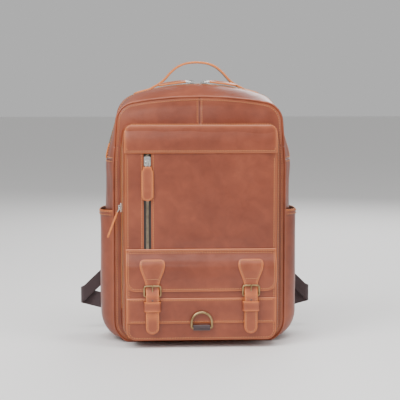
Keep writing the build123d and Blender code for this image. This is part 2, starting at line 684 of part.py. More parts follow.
with BuildPart() as strap_anchors:
    for sign in (-1, 1):
        with BuildSketch(cross_plane(BAG_BACK_Y + LEATHER)):
            with BuildLine():
                Polyline((sign * 100, 16), (sign * 122, 18), (sign * 131, 32), (sign * 131, 60),
                         (sign * 112, 50), close=True)
            make_face()
        extrude(amount=LEATHER)
write(strap_anchors.part, "strap_anchors")

PAD_LENGTH = hypot(STRAP_END[0] - STRAP_TOP[0], STRAP_END[1] - STRAP_TOP[1])
# the neck's and the pad's middle lines: distance from the yoke, depth
NECK_LINE = ((0, 55.5), (14, 57.5), (30, 61))
PAD_LINE = ((34, 61.9), (60, 66), (130, 71), (PAD_LENGTH - 12, 66))
CREASE_Z = (45.0, 71.0)
BEND_Y, BEND_R = 67.0, 4.8


def strap_plane(sign):
    """Drawn along the pad, from its top towards its lower end, and in depth."""
    along = Vector(sign * (STRAP_END[0] - STRAP_TOP[0]), 0, STRAP_END[1] - STRAP_TOP[1]).normalized()
    return Plane(origin=(sign * STRAP_TOP[0], 0, STRAP_TOP[1]), x_dir=along,
                 z_dir=along.cross(Vector(BACKWARD)))


def shoulder_pad(sign, line):
    """A stretch of a shoulder strap that follows the line in depth."""
    with BuildPart() as pad:
        extrude(ribbon(strap_plane(sign).offset(-PAD_HALF), line, PAD_THICK), amount=2 * PAD_HALF,
                dir=strap_plane(sign).z_dir)
    return pad.part


def ladder_lock(sign):
    """A flat buckle with two slots and a bar between them, at the pad's lower end."""
    plane = strap_plane(sign)
    face = Plane(origin=plane.from_local_coords((PAD_LENGTH + 2, WEB_Y + WEB_THICK / 2, 0)),
                 x_dir=plane.x_dir, z_dir=BACKWARD)
    with BuildPart() as lock:
        with BuildSketch(face):
            RectangleRounded(*LOCK_SIZE[:2], 4)
            with GridLocations(LOCK_SLOT_PITCH, 0, 2, 1):
                Rectangle(*LOCK_SLOT, mode=Mode.SUBTRACT)
        extrude(amount=LOCK_SIZE[2])
    return lock.part


def webbing(sign):
    """The adjusting strap: from the ladder lock out to a fold beside the bag, and back to the anchor."""
    run_x, anchor_x, anchor_y = 108.0, 112.0, BAG_BACK_Y + LEATHER + GAP + WEB_THICK / 2
    rise = 0.95 * (LOOP_X - run_x)
    back_run = Vector(sign * (anchor_x - LOOP_X), anchor_y - (BEND_Y + BEND_R), 0)
    with BuildPart() as web:
        with BuildSketch(cross_plane(WEB_Y + WEB_THICK / 2)):
            with BuildLine():
                Polyline((sign * LOOP_X, CREASE_Z[0]), (sign * LOOP_X, CREASE_Z[1]),
                         (sign * run_x, CREASE_Z[1] + rise), (sign * run_x, CREASE_Z[0] + rise), close=True)
            make_face()
        extrude(amount=WEB_THICK)
        with BuildSketch(Plane.XY.offset(CREASE_Z[0])):
            with Locations((sign * LOOP_X, BEND_Y)):
                Circle(BEND_R + WEB_THICK / 2)
                Circle(BEND_R - WEB_THICK / 2, mode=Mode.SUBTRACT)
            with Locations((sign * (LOOP_X - 20), BEND_Y)):
                Rectangle(40, 40, mode=Mode.SUBTRACT)
        extrude(amount=CREASE_Z[1] - CREASE_Z[0])
        back = Plane(origin=(sign * LOOP_X, BEND_Y + BEND_R, 0), x_dir=back_run.normalized(),
                     z_dir=back_run.normalized().cross(Vector(0, 0, 1)))
        with BuildSketch(back.offset(-WEB_THICK / 2)):
            with BuildLine():
                Polyline((0, CREASE_Z[0]), (0, CREASE_Z[1]), (back_run.length, CREASE_Z[1] - 18),
                         (back_run.length, CREASE_Z[0] - 18), close=True)
            make_face()
        extrude(amount=WEB_THICK)
    return web.part


with BuildPart() as strap_necks:
    for sign in (-1, 1):
        add(shoulder_pad(sign, NECK_LINE))
write(strap_necks.part, "strap_necks")

for side, sign in (("left", -1), ("right", 1)):
    write(shoulder_pad(sign, PAD_LINE), f"shoulder_pad_{side}")
    write(ladder_lock(sign), f"ladder_lock_{side}")
    write(webbing(sign), f"webbing_{side}")
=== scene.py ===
import math

import bmesh
import bpy
import numpy as np
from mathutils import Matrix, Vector, noise


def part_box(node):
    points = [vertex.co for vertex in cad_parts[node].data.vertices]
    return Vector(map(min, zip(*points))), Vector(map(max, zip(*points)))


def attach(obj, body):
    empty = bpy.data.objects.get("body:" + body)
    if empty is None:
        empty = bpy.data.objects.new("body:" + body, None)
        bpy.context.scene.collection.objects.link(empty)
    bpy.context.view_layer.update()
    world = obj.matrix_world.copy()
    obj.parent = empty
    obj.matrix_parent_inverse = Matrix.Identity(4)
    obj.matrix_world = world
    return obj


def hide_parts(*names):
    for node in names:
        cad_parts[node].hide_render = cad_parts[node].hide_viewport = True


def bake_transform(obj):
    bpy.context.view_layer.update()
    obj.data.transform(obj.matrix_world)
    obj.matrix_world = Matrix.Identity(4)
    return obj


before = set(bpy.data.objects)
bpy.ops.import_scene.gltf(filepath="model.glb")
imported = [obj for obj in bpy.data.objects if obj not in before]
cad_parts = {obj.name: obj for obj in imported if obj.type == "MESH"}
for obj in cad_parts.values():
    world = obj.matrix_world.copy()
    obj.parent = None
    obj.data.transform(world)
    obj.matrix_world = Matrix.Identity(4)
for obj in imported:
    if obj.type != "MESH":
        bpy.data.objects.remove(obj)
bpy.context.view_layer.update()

# Geometry is worked out in millimetres, in the frame's axes: the front faces -Y and +Z is up.
MM = 0.001


def corners(node):
    """A CAD node's lowest and highest corner, in millimetres."""
    low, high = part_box(node)
    return np.array(low) / MM, np.array(high) / MM


# ---------------------------------------------------------------- camera, light and floor
def aim(obj, target):
    """Turns a camera or light so that it looks at a point."""
    obj.rotation_euler = (Vector(target) - obj.location).to_track_quat("-Z", "Y").to_euler()


def make_camera():
    """The front view, a little from the left and from above."""
    azimuth, elevation, distance = math.radians(-3.5), math.radians(5.0), 2.0
    target = Vector((0.0036, 0.0, 0.2125))
    data = bpy.data.cameras.new("camera")
    data.sensor_width = 36.0
    data.lens = 36.0 * distance / 0.620
    camera = bpy.data.objects.new("camera", data)
    bpy.context.scene.collection.objects.link(camera)
    camera.location = target + distance * Vector((math.sin(azimuth) * math.cos(elevation),
                                                  -math.cos(azimuth) * math.cos(elevation),
                                                  math.sin(elevation)))
    aim(camera, target)
    bpy.context.scene.camera = camera


def area_light(name, location, target, size, power):
    """A soft rectangular light."""
    data = bpy.data.lights.new(name, "AREA")
    data.shape, data.size, data.size_y = "RECTANGLE", size[0], size[1]
    data.energy = power
    light = bpy.data.objects.new(name, data)
    bpy.context.scene.collection.objects.link(light)
    light.location = location
    aim(light, target)


def make_studio():
    """Five soft lights, a pale world and a matt floor."""
    middle = (0, 0, 0.2)
    area_light("key_light", (-1.15, -1.05, 1.60), middle, (0.8, 1.0), 28)
    area_light("front_light", (-0.75, -1.85, 1.00), middle, (1.7, 0.45), 12)
    area_light("fill_light", (1.5, -1.1, 0.9), middle, (0.6, 1.3), 9)
    area_light("top_light", (0.1, -0.60, 1.75), middle, (1.5, 0.7), 24)
    area_light("back_light", (0.6, 1.7, 1.3), middle, (1.2, 1.0), 24)
    world = bpy.data.worlds.new("studio")
    world.use_nodes = True
    world.node_tree.nodes["Background"].inputs["Color"].default_value = (1.0, 1.0, 1.0, 1)
    world.node_tree.nodes["Background"].inputs["Strength"].default_value = 0.54
    bpy.context.scene.world = world
    bpy.ops.mesh.primitive_plane_add(size=30, location=(0, 0, 0))
    floor = bpy.context.object
    floor.name = "floor"
    paint = bpy.data.materials.new("floor_paint")
    paint.use_nodes = True
    shader = paint.node_tree.nodes["Principled BSDF"]
    shader.inputs["Base Color"].default_value = (0.82, 0.81, 0.80, 1)
    shader.inputs["Roughness"].default_value = 0.7
    floor.data.materials.append(paint)


make_camera()
make_studio()


# ---------------------------------------------------------------- materials
class Nodes:
    """Short names for building one material's node tree. Each method adds a node and returns its output."""

    def __init__(self, name):
        self.material = bpy.data.materials.new(name)
        self.material.use_nodes = True
        self.tree = self.material.node_tree
        self.shader = self.tree.nodes["Principled BSDF"]
        self.place = self.add("ShaderNodeTexCoord").outputs["Object"]

    def add(self, kind, **settings):
        node = self.tree.nodes.new(kind)
        for key, value in settings.items():
            setattr(node, key, value)
        return node

    def link(self, output, target):
        self.tree.links.new(output, target)

    def scaled(self, scale):
        mapping = self.add("ShaderNodeMapping")
        mapping.inputs["Scale"].default_value = scale
        self.link(self.place, mapping.inputs["Vector"])
        return mapping.outputs["Vector"]

    def noise(self, scale, detail=3.0, rough=0.55, place=None, distort=0.0):
        node = self.add("ShaderNodeTexNoise")
        node.inputs["Scale"].default_value = scale
        node.inputs["Detail"].default_value = detail
        node.inputs["Roughness"].default_value = rough
        node.inputs["Distortion"].default_value = distort
        self.link(place or self.place, node.inputs["Vector"])
        return node.outputs["Fac"]

    def voronoi(self, scale):
        node = self.add("ShaderNodeTexVoronoi")
        node.inputs["Scale"].default_value = scale
        self.link(self.place, node.inputs["Vector"])
        return node.outputs["Distance"]

    def wave(self, scale, direction, distort=0.0):
        node = self.add("ShaderNodeTexWave", bands_direction=direction)
        node.inputs["Scale"].default_value = scale
        node.inputs["Distortion"].default_value = distort
        self.link(self.place, node.inputs["Vector"])
        return node.outputs["Fac"]

    def ramp(self, value, *stops):
        node = self.add("ShaderNodeValToRGB")
        elements = node.color_ramp.elements
        while len(elements) < len(stops):
            elements.new(0.5)
        for element, (position, colour) in zip(elements, stops):
            element.position = position
            element.color = (*colour, 1) if len(colour) == 3 else colour
        self.link(value, node.inputs["Fac"])
        return node.outputs["Color"]

    def math(self, kind, first, second=0.5):
        node = self.add("ShaderNodeMath", operation=kind)
        for slot, value in zip(node.inputs, (first, second)):
            if isinstance(value, (int, float)):
                slot.default_value = value
            else:
                self.link(value, slot)
        return node.outputs["Value"]

    def mix(self, factor, first, second):
        node = self.add("ShaderNodeMix", data_type="RGBA")
        for slot, value in ((node.inputs[0], factor), (node.inputs[6], first), (node.inputs[7], second)):
            if isinstance(value, (int, float)):
                slot.default_value = value
            elif isinstance(value, tuple):
                slot.default_value = (*value, 1)
            else:
                self.link(value, slot)
        return node.outputs[2]

    def attribute(self, name):
        return self.add("ShaderNodeAttribute", attribute_name=name).outputs["Fac"]

    def bump(self, height, strength, distance, below=None):
        node = self.add("ShaderNodeBump")
        node.inputs["Strength"].default_value = strength
        node.inputs["Distance"].default_value = distance
        self.link(height, node.inputs["Height"])
        if below is not None:
            self.link(below, node.inputs["Normal"])
        return node.outputs["Normal"]

    def finish(self, colour=None, rough=None, normal=None, **values):
        for socket, value in (("Base Color", colour), ("Roughness", rough), ("Normal", normal)):
            if value is None:
                continue
            if isinstance(value, (int, float)):
                self.shader.inputs[socket].default_value = value
            elif isinstance(value, tuple):
                self.shader.inputs[socket].default_value = (*value, 1)
            else:
                self.link(value, self.shader.inputs[socket])
        for key, value in values.items():
            self.shader.inputs[key.replace("_", " ")].default_value = value
        return self.material


def leather_material(name, dark, middle, light, worn, rough=0.36, grain=1.0):
    """Smooth oiled leather: cloudy colour, fine pores, faint creases, paler where it is folded or rubbed."""
    n = Nodes(name)
    clouds = n.noise(9.0, 4.0, 0.55)
    patches = n.noise(46.0, 5.0, 0.6, distort=0.6)
    tone = n.math("ADD", n.math("MULTIPLY", clouds, 0.62), n.math("MULTIPLY", patches, 0.38))
    colour = n.ramp(tone, (0.36, dark), (0.52, middle), (0.68, light))
    veins = n.noise(130.0, 6.0, 0.65, distort=1.2)
    colour = n.mix(n.math("MULTIPLY", n.math("GREATER_THAN", veins, 0.64), 0.10), colour, light)
    colour = n.mix(n.attribute("wear"), colour, worn)
    colour = n.mix(n.attribute("shade"), colour, tuple(c * 0.42 for c in dark))
    pores = n.voronoi(1150.0)
    creases = n.noise(330.0, 5.0, 0.6, distort=0.8)
    soft = n.noise(60.0, 3.0, 0.5)
    normal = n.bump(soft, 0.30, 0.0016)
    normal = n.bump(creases, 0.22 * grain, 0.0004, normal)
    normal = n.bump(pores, 0.20 * grain, 0.00018, normal)
    gloss = n.math("ADD", n.math("MULTIPLY", patches, 0.22), rough - 0.09)
    return n.finish(colour, gloss, normal, Specular_IOR_Level=0.50, Coat_Weight=0.12, Coat_Roughness=0.30)


def edge_material():
    """A cut and burnished edge of vegetable-tanned leather: raw orange with fibres."""
    n = Nodes("leather_edge")
    fibres = n.noise(700.0, 4.0, 0.7)
    colour = n.ramp(fibres, (0.3, (0.46, 0.120, 0.026)), (0.7, (0.78, 0.24, 0.055)))
    return n.finish(colour, 0.62, n.bump(fibres, 0.3, 0.0003))


def cloth_material(name, base, scale, tint):
    """Plain weave: threads crossing, with a slightly different tone on every second one."""
    n = Nodes(name)
    across = n.wave(scale, "X", 0.3)
    along = n.wave(scale, "Z", 0.3)
    weave = n.math("MAXIMUM", across, along)
    colour = n.mix(n.math("MULTIPLY", weave, 0.5), base, tint)
    fuzz = n.noise(900.0, 3.0)
    normal = n.bump(weave, 0.55, 0.0004, n.bump(fuzz, 0.3, 0.0003))
    return n.finish(colour, 0.85, normal, Sheen_Weight=0.25, Sheen_Roughness=0.5)


def thread_material():
    """Waxed orange thread."""
    n = Nodes("waxed_thread")
    twist = n.noise(1500.0, 3.0)
    colour = n.ramp(twist, (0.3, (0.62, 0.20, 0.050)), (0.7, (0.90, 0.34, 0.10)))
    return n.finish(colour, 0.55, n.bump(twist, 0.4, 0.0002))


def metal_material(name, dark, light, rough):
    """Metal with brushed streaks and a slight stain."""
    n = Nodes(name)
    brushed = n.noise(260.0, 4.0, 0.6, place=n.scaled((1.0, 1.0, 6.0)))
    stain = n.noise(90.0, 5.0, 0.65)
    colour = n.ramp(n.math("MULTIPLY", n.math("ADD", brushed, stain), 0.5), (0.35, dark), (0.62, light))
    roughness = n.math("ADD", n.math("MULTIPLY", stain, 0.2), rough - 0.1)
    return n.finish(colour, roughness, n.bump(brushed, 0.12, 0.0002), Metallic=1.0)


def board_material():
    """The dark stiffening board; on the stitches' holes and the strap's punched hole the same dark colour is
    painted shade.
    """
    n = Nodes("stiffener_board_and_hole_shade")
    specks = n.noise(420.0, 4.0)
    colour = n.ramp(specks, (0.35, (0.10, 0.075, 0.06)), (0.65, (0.16, 0.12, 0.09)))
    return n.finish(colour, 0.8, n.bump(specks, 0.2, 0.0003))


LEATHER = leather_material("leather", (0.140, 0.026, 0.009), (0.200, 0.041, 0.0155), (0.262, 0.061, 0.024),
                           (0.62, 0.170, 0.042))
LEATHER_TRIM = leather_material("leather_trim", (0.175, 0.036, 0.012), (0.250, 0.056, 0.021),
                                (0.320, 0.082, 0.033), (0.70, 0.190, 0.046), rough=0.38)
SUEDE = leather_material("leather_inside", (0.24, 0.16, 0.12), (0.31, 0.22, 0.17), (0.38, 0.27, 0.21),
                         (0.42, 0.32, 0.25), rough=0.75, grain=2.0)
EDGE = edge_material()
THREAD = thread_material()
LINING = cloth_material("lining", (0.16, 0.105, 0.08), 420.0, (0.24, 0.165, 0.125))
MESH_LINING = cloth_material("padding_cover", (0.09, 0.06, 0.05), 300.0, (0.16, 0.11, 0.09))
WEBBING = cloth_material("dark_webbing", (0.030, 0.016, 0.018), 260.0, (0.075, 0.045, 0.048))
TAPE = cloth_material("zip_tape", (0.030, 0.022, 0.022), 500.0, (0.055, 0.042, 0.040))
OLD_BRASS = metal_material("antique_brass", (0.17, 0.105, 0.050), (0.46, 0.32, 0.16), 0.34)
TEETH = metal_material("brass_teeth", (0.16, 0.12, 0.085), (0.42, 0.34, 0.24), 0.36)
NICKEL = metal_material("bright_nickel", (0.50, 0.48, 0.46), (0.82, 0.80, 0.77), 0.24)
# the board's colour, also used as painted shade inside the stitch holes and the punched hole
BOARD_AND_HOLE_SHADE = board_material()


# ---------------------------------------------------------------- mesh helpers
def word_of(side):
    """The word for a side in the pieces' names: -1 is the bag's left in a front view."""
    return "left" if side < 0 else "right"


def settle(piece, body="bag", nodes=()):
    """Attaches a piece to the body it rides and hides the CAD nodes it stands for."""
    if body:
        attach(piece, body)
    if nodes:
        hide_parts(*nodes)


def soft_noise(x, y, z, size, seed=0.0):
    """Smooth noise from about -1 to 1, with features of that size in millimetres."""
    return noise.noise(Vector((x / size + seed, y / size - seed, z / size + 2.3 * seed)))


def make_mesh(name, verts, faces, materials, face_materials=None, attributes=None):
    """A smooth object from points in millimetres. attributes hold one value for each point."""
    mesh = bpy.data.meshes.new(name)
    mesh.from_pydata((np.asarray(verts, float) * MM).tolist(), [], faces)
    for material in materials:
        mesh.materials.append(material)
    if face_materials is not None:
        mesh.polygons.foreach_set("material_index", face_materials)
    mesh.polygons.foreach_set("use_smooth", [True] * len(mesh.polygons))
    for key, values in (attributes or {}).items():
        layer = mesh.attributes.new(key, "FLOAT", "POINT")
        layer.data.foreach_set("value", np.asarray(values, float))
    mesh.update()
    piece = bpy.data.objects.new(name, mesh)
    bpy.context.scene.collection.objects.link(piece)
    return piece


def clean_up(piece, outward=False):
    """Deletes the points that no face uses, and turns a closed piece's faces outwards."""
    work = bmesh.new()
    work.from_mesh(piece.data)
    bmesh.ops.delete(work, geom=[v for v in work.verts if not v.link_faces], context="VERTS")
    if outward:
        bmesh.ops.recalc_face_normals(work, faces=work.faces)
    work.to_mesh(piece.data)
    work.free()


def grid_faces(rows, columns, wrap=False, keep=None, start=0):
    """Quads of a grid of points. wrap joins the last column to the first. keep(row, column) leaves holes."""
    faces = []
    for i in range(rows - 1):
        for j in range(columns if wrap else columns - 1):
            if keep is None or keep(i, j):
                k = (j + 1) % columns
                faces.append((start + i * columns + j, start + i * columns + k,
                              start + (i + 1) * columns + k, start + (i + 1) * columns + j))
    return faces


def add_modifier(piece, kind, **settings):
    """Adds a modifier with those settings."""
    modifier = piece.modifiers.new(kind.lower(), kind)
    for key, value in settings.items():
        setattr(modifier, key, value)
    return modifier


def thicken(piece, thick, inside=1, rim=0):
    """Gives a sheet its thickness towards the inside. inside and rim say which materials show there."""
    add_modifier(piece, "SOLIDIFY", thickness=thick * MM, offset=-1.0, material_offset=inside,
                 material_offset_rim=rim, use_even_offset=True)


def smooth_more(piece):
    """Divides the faces once more, with rounded shapes between them."""
    add_modifier(piece, "SUBSURF", levels=1, render_levels=1)


def round_path(points, radii, step=2.0):
    """A polyline with rounded corners, as evenly spaced points. radii has one value for each inner point."""
    points = [np.array(p, float) for p in points]
    path = [points[0]]
    for before, here, after, radius in zip(points, points[1:], points[2:], radii):
        back, on = before - here, after - here
        back_length, on_length = np.linalg.norm(back), np.linalg.norm(on)
        back, on = back / back_length, on / on_length
        angle = math.acos(max(-1.0, min(1.0, float(np.dot(back, on)))))
        reach = min(radius / math.tan(angle / 2), 0.49 * back_length, 0.49 * on_length)
        if reach < 0.05 or math.pi - angle < 0.01:
            path.append(here)
            continue
        first, last = here + back * reach, here + on * reach
        for t in np.linspace(0, 1, 9):
            # a circle's arc is close to this rational curve
            w = math.sin(angle / 2)
            a, b, c = (1 - t) ** 2, 2 * w * t * (1 - t), t**2
            path.append((a * first + b * here + c * last) / (a + b + c))
    path.append(points[-1])
    return resample(np.array(path), step)


def run_of(path):
    """The distance along a path at each of its points."""
    return np.concatenate([[0], np.cumsum(np.linalg.norm(np.diff(path, axis=0), axis=1))])


def at_marks(marks, run, rows):
    """What each column of rows, known at the distances in run, is at the marks."""
    return np.stack([np.interp(marks, run, rows[:, k]) for k in range(rows.shape[1])], axis=1)


def resample_count(path, count):
    """The same line with that many evenly spaced points."""
    run = run_of(path)
    return at_marks(np.linspace(0, run[-1], count), run, path)


def resample(path, step):
    """The same line with evenly spaced points, about step apart."""
    return resample_count(path, max(2, int(round(run_of(path)[-1] / step)) + 1))


def right_of(path):
    """Unit directions square to a flat path, on its right: outwards where it runs counter-clockwise."""
    along = tangents(path)
    return np.stack([along[:, 1], -along[:, 0]], axis=1)


def mirrored(half):
    """A line on the bag's right half, continued from its mirror image on the left."""
    flip = np.array((-1,) + (1,) * (half.shape[1] - 1))
    return np.concatenate([(half * flip)[::-1][:-1], half])


def tangents(path):
    """Unit directions along a path."""
    slopes = np.gradient(path, axis=0)
    return slopes / np.maximum(np.linalg.norm(slopes, axis=1, keepdims=True), 1e-9)


def unit(vector):
    """The vector at length one."""
    return vector / max(np.linalg.norm(vector), 1e-9)


def tube(name, path, radius, material, sides=10, closed=False):
    """A round bar or piping along a path."""
    path = np.asarray(path, float)
    along = tangents(path)
    if closed:
        along[0] = along[-1] = unit(path[1] - path[-2])
    side = np.cross(along, (0, 1, 0))
    weak = np.linalg.norm(side, axis=1) < 0.2
    side[weak] = np.cross(along[weak], (0, 0, 1))
    side = side / np.linalg.norm(side, axis=1, keepdims=True)
    up = np.cross(side, along)
    verts = []
    for k in range(len(path)):
        for a in np.linspace(0, 2 * math.pi, sides, endpoint=False):
            verts.append(path[k] + radius * (math.cos(a) * side[k] + math.sin(a) * up[k]))
    faces = grid_faces(len(path), sides, wrap=True)
    if not closed:
        faces += [tuple(range(sides))[::-1], tuple(range((len(path) - 1) * sides, len(path) * sides))]
    return make_mesh(name, verts, faces, [material])


def leaf(name, origins, sides, normals, halves, thick, materials, across=9, columns=None, flex=25.0,
         relief=None, shape=None, rim=0.5, wear=0.55, wear_width=2.2, rubbed=None):
    """A strip of leather: a line of cross-sections, each with its width, its thickness and a burnished edge.

    columns are fixed distances from the middle line, of which only those within flex of the widest edge
    follow the width. relief raises the outer face, and shape raises both. rubbed adds wear away from the
    edges. Materials: face, edge, back."""
    halves = np.broadcast_to(np.asarray(halves, float), len(origins))
    widest = halves.max()
    base = np.asarray(columns, float) if columns is not None else np.linspace(-widest, widest, across)
    run = run_of(origins)
    verts, wears = [], []
    for k, half in enumerate(halves):
        if columns is None:
            x = base / widest * half
        else:
            inner = widest - flex
            bent = np.sign(base) * (inner + (np.abs(base) - inner) * (half - inner) / flex)
            x = np.where(np.abs(base) <= inner, base, bent)
        r = min(rim, half * 0.4, thick * 0.45)
        x = np.clip(x, -(half - r), half - r)
        lift = np.array([shape(v, k) for v in x]) if shape else np.zeros(len(x))
        raised = np.array([relief(v, k) for v in x]) if relief else np.zeros(len(x))
        top = [(v, thick / 2 + a + b) for v, a, b in zip(x, lift, raised)]
        low = [(v, a - thick / 2) for v, a in zip(x, lift)]
        right = [(half - 0.3 * r, thick / 2 - 0.3 * r + lift[-1]), (half, thick / 2 - r + lift[-1]),
                 (half, r - thick / 2 + lift[-1]), (half - 0.3 * r, 0.3 * r - thick / 2 + lift[-1])]
        left = [(-half + 0.3 * r, 0.3 * r - thick / 2 + lift[0]), (-half, r - thick / 2 + lift[0]),
                (-half, thick / 2 - r + lift[0]), (-half + 0.3 * r, thick / 2 - 0.3 * r + lift[0])]
        ring = top + right + low[::-1] + left
        verts += [origins[k] + v * sides[k] + h * normals[k] for v, h in ring]
        end = min(run[k], run[-1] - run[k])
        for v, _ in ring:
            gap = min(half - abs(v), end)
            wears.append(wear * math.exp(-max(gap, 0) / wear_width) + (rubbed(v, k) if rubbed else 0.0))
    size = 2 * len(base) + 8
    n = len(base)
    faces = grid_faces(len(origins), size, wrap=True)
    kinds = []
    for _ in range(len(origins) - 1):
        for j in range(size):
            face, back = j < n - 1, n + 4 <= j < 2 * n + 3
            kinds.append(0 if face else (2 if back and len(materials) > 2 else (0 if back else 1)))
    last = (len(origins) - 1) * size
    faces += [tuple(range(size)), tuple(range(last, last + size))[::-1]]
    kinds += [1, 1]
    piece = make_mesh(name, verts, faces, materials, kinds, {"wear": wears})
    clean_up(piece, outward=True)
    return piece


def rounded_half(marks, start, end, half, r_start=0.0, r_end=0.0):
    """Half width of a strip with rounded corners at its two ends, at each mark between start and end."""
    marks = np.asarray(marks, float)
    widths = np.full(len(marks), float(half))
    for edge, radius in ((start, r_start), (end, r_end)):
        near = np.abs(marks - edge)
        inside = near < radius
        widths[inside] = half - radius + np.sqrt(np.maximum(radius**2 - (radius - near[inside]) ** 2, 0))
    return np.maximum(widths, 0.6)


def eased(start, end, step, r_start=0.0, r_end=0.0):
    """Marks from start to end, closer together over a rounded corner at either end."""
    length = abs(end - start)
    direction = 1 if end > start else -1
    marks = [0.0]
    for radius, offset, sign in ((r_start, 0.0, 1), (r_end, length, -1)):
        if radius:
            curve = radius * (1 - np.cos(np.linspace(0.0, math.pi / 2, 9)))
            marks += list(offset + sign * curve)
    marks += list(np.arange(r_start, length - r_end + 1e-6, step))
    marks = np.unique(np.round(np.array(marks + [length]), 3))
    return start + direction * marks


# ---------------------------------------------------------------- stitches
stitch_groups = {}
FINE = {"pitch": 2.9, "length": 2.1}  # the small pieces' stitches


def stitch(group, points, normals, pitch=3.8, length=2.3, radius=0.50, slant=6.0, rise=0.15):
    """A row of stitches along a line on a surface. The group says what they will ride on."""
    points = np.asarray(points, float)
    normals = np.broadcast_to(np.asarray(normals, float), points.shape)
    run = run_of(points)
    marks = np.arange(pitch / 2, run[-1], pitch)
    ahead = at_marks(marks + 0.3, run, points) - at_marks(marks - 0.3, run, points)
    for centre, normal, along in zip(at_marks(marks, run, points), at_marks(marks, run, normals), ahead):
        normal, along = unit(normal), unit(along)
        side = unit(np.cross(normal, along))
        turn = math.radians(slant)
        along = unit(math.cos(turn) * along + math.sin(turn) * side)
        side = unit(np.cross(normal, along))
        row = (centre + normal * rise, along, side, normal, length, radius, pitch / 2)
        stitch_groups.setdefault(group, []).append(row)


def make_stitches():
    """One mesh for each group: small capsules of thread, with a pricked hole after each, whose dark colour is
    painted shade.
    """
    made = {}
    for group, rows in stitch_groups.items():
        verts, faces, kinds = [], [], []
        for centre, along, side, normal, length, radius, step in rows:
            start = len(verts)
            verts.append(centre - along * length / 2 - normal * radius)
            for offset, grow in ((-0.36, 0.8), (0.0, 1.1), (0.36, 0.8)):
                for a in (0.25, 0.75, 1.25, 1.75):
                    verts.append(centre + along * offset * length + radius * grow
                                 * (math.cos(a * math.pi) * side + math.sin(a * math.pi) * normal))
            verts.append(centre + along * length / 2 - normal * radius)
            for ring in range(2):
                faces += [(start + 1 + ring * 4 + j, start + 1 + ring * 4 + (j + 1) % 4,
                           start + 5 + ring * 4 + (j + 1) % 4, start + 5 + ring * 4 + j) for j in range(4)]
            faces += [(start, start + 1 + (j + 1) % 4, start + 1 + j) for j in range(4)]
            faces += [(start + 13, start + 9 + j, start + 9 + (j + 1) % 4) for j in range(4)]
            # a shallow pit in the dark board colour: painted shade in the hole
            hole = centre + along * step - normal * 0.06
            long, wide = 0.22 * step + 0.36, 0.58
            verts += [hole + long * along, hole + wide * side, hole - long * along, hole - wide * side,
                      hole - 0.5 * normal]
            faces += [(start + 14, start + 15, start + 16, start + 17)]
            faces += [(start + 18, start + 14 + (j + 1) % 4, start + 14 + j) for j in range(4)]
            kinds += [0] * 16 + [1] * 5
        made[group] = make_mesh(f"stitches_{group}", verts, faces, [THREAD, BOARD_AND_HOLE_SHADE], kinds)
        clean_up(made[group], outward=True)
    return made


# ---------------------------------------------------------------- main compartment
FRONT_Y, BACK_Y = corners("main_front_panel")[0][1], corners("back_panel")[1][1]
LEATHER_THICK = 2.0
RIM_FRONT, RIM_BACK = FRONT_Y + LEATHER_THICK, BACK_Y - LEATHER_THICK
RIDGE = 8.0
DEEP = 45.5  # half the depth between the main compartment's panels
# half width, height where the side leans in, corner x, top z, top radius, bottom and shoulder radii
SECTIONS = {"front": (129.0, 270.0, 123.0, 372.0, 600.0, 32.0, 30.0),
            "middle": (143.0, 278.0, 116.0, 392.0, 315.0, 38.0, 48.0),
            "back": (136.0, 275.0, 118.0, 386.0, 400.0, 34.0, 42.0)}
OUTLINE_POINTS = 230
SEAM_Z = 277.5  # the seam across each side, where the upper leather is sewn to the lower
SPLIT = 160  # the outlines' point that lies on that seam
SPLIT_Z = 300.0  # above it the front half of the band belongs to the mouth


def half_outline(section):
    """Right half of an outline in x and z, from the middle of the base to the middle of the top."""
    half, lean_z, corner_x, top_z, top_r, low_r, high_r = section
    arc = [(x, top_z - top_r + math.sqrt(top_r**2 - x**2))
           for x in corner_x * np.array((1.0, 0.62, 0.3, 0.0))]
    path = round_path([(0, 0), (half, 0), (half, lean_z)] + arc, [low_r, 120, high_r, 300, 300], 1.0)
    k = int(np.argmax(path[:, 1] > SEAM_Z))
    t = (SEAM_Z - path[k - 1, 1]) / (path[k, 1] - path[k - 1, 1])
    seam = path[k - 1:k] * (1 - t) + path[k:k + 1] * t
    low = resample_count(np.concatenate([path[:k], seam]), SPLIT + 1)
    high = resample_count(np.concatenate([seam, path[k:]]), OUTLINE_POINTS - SPLIT)
    return np.concatenate([low, high[1:]])


HALVES = {name: half_outline(section) for name, section in SECTIONS.items()}


def outline_at(y):
    """The right half outline at that depth."""
    if y <= -RIDGE:
        t = (y - RIM_FRONT) / (-RIDGE - RIM_FRONT)
        first, second = HALVES["front"], HALVES["middle"]
    elif y >= RIDGE:
        t = (RIM_BACK - y) / (RIM_BACK - RIDGE)
        first, second = HALVES["back"], HALVES["middle"]
    else:
        return HALVES["middle"]
    t = 1 - (1 - min(max(t, 0.0), 1.0)) ** 1.45
    return first * (1 - t) + second * t


def step_up(value, low, high):
    """A smooth rise from 0 to 1 between low and high."""
    t = min(max((value - low) / (high - low), 0.0), 1.0)
    return t * t * (3 - 2 * t)


def skin_push(x, y, z, sign):
    """How far the soft band stands outside its plain shape: vertical folds in the sides, a little sag."""
    fade = step_up(DEEP - abs(y), 0.0, 9.0) * step_up(z, 1.0, 26.0)
    side = step_up(abs(x), 96.0, 132.0)
    folds = 1.5 * soft_noise(y * 4.6, sign * 31.0, z, 62.0, 3.1)
    folds += 0.7 * soft_noise(y * 9.0, sign * 17.0, z, 55.0, 9.7)
    dents = 1.8 * soft_noise(x, y, z, 74.0, 5.0 + sign)
    hollow = -1.6 * side * math.exp(-((z - 240.0) / 55.0) ** 2) * (1 - (y / DEEP) ** 2)
    seam = -0.9 * side * math.exp(-((z - SEAM_Z) / 2.2) ** 2)
    return fade * (side * folds + 0.55 * dents + hollow + seam)


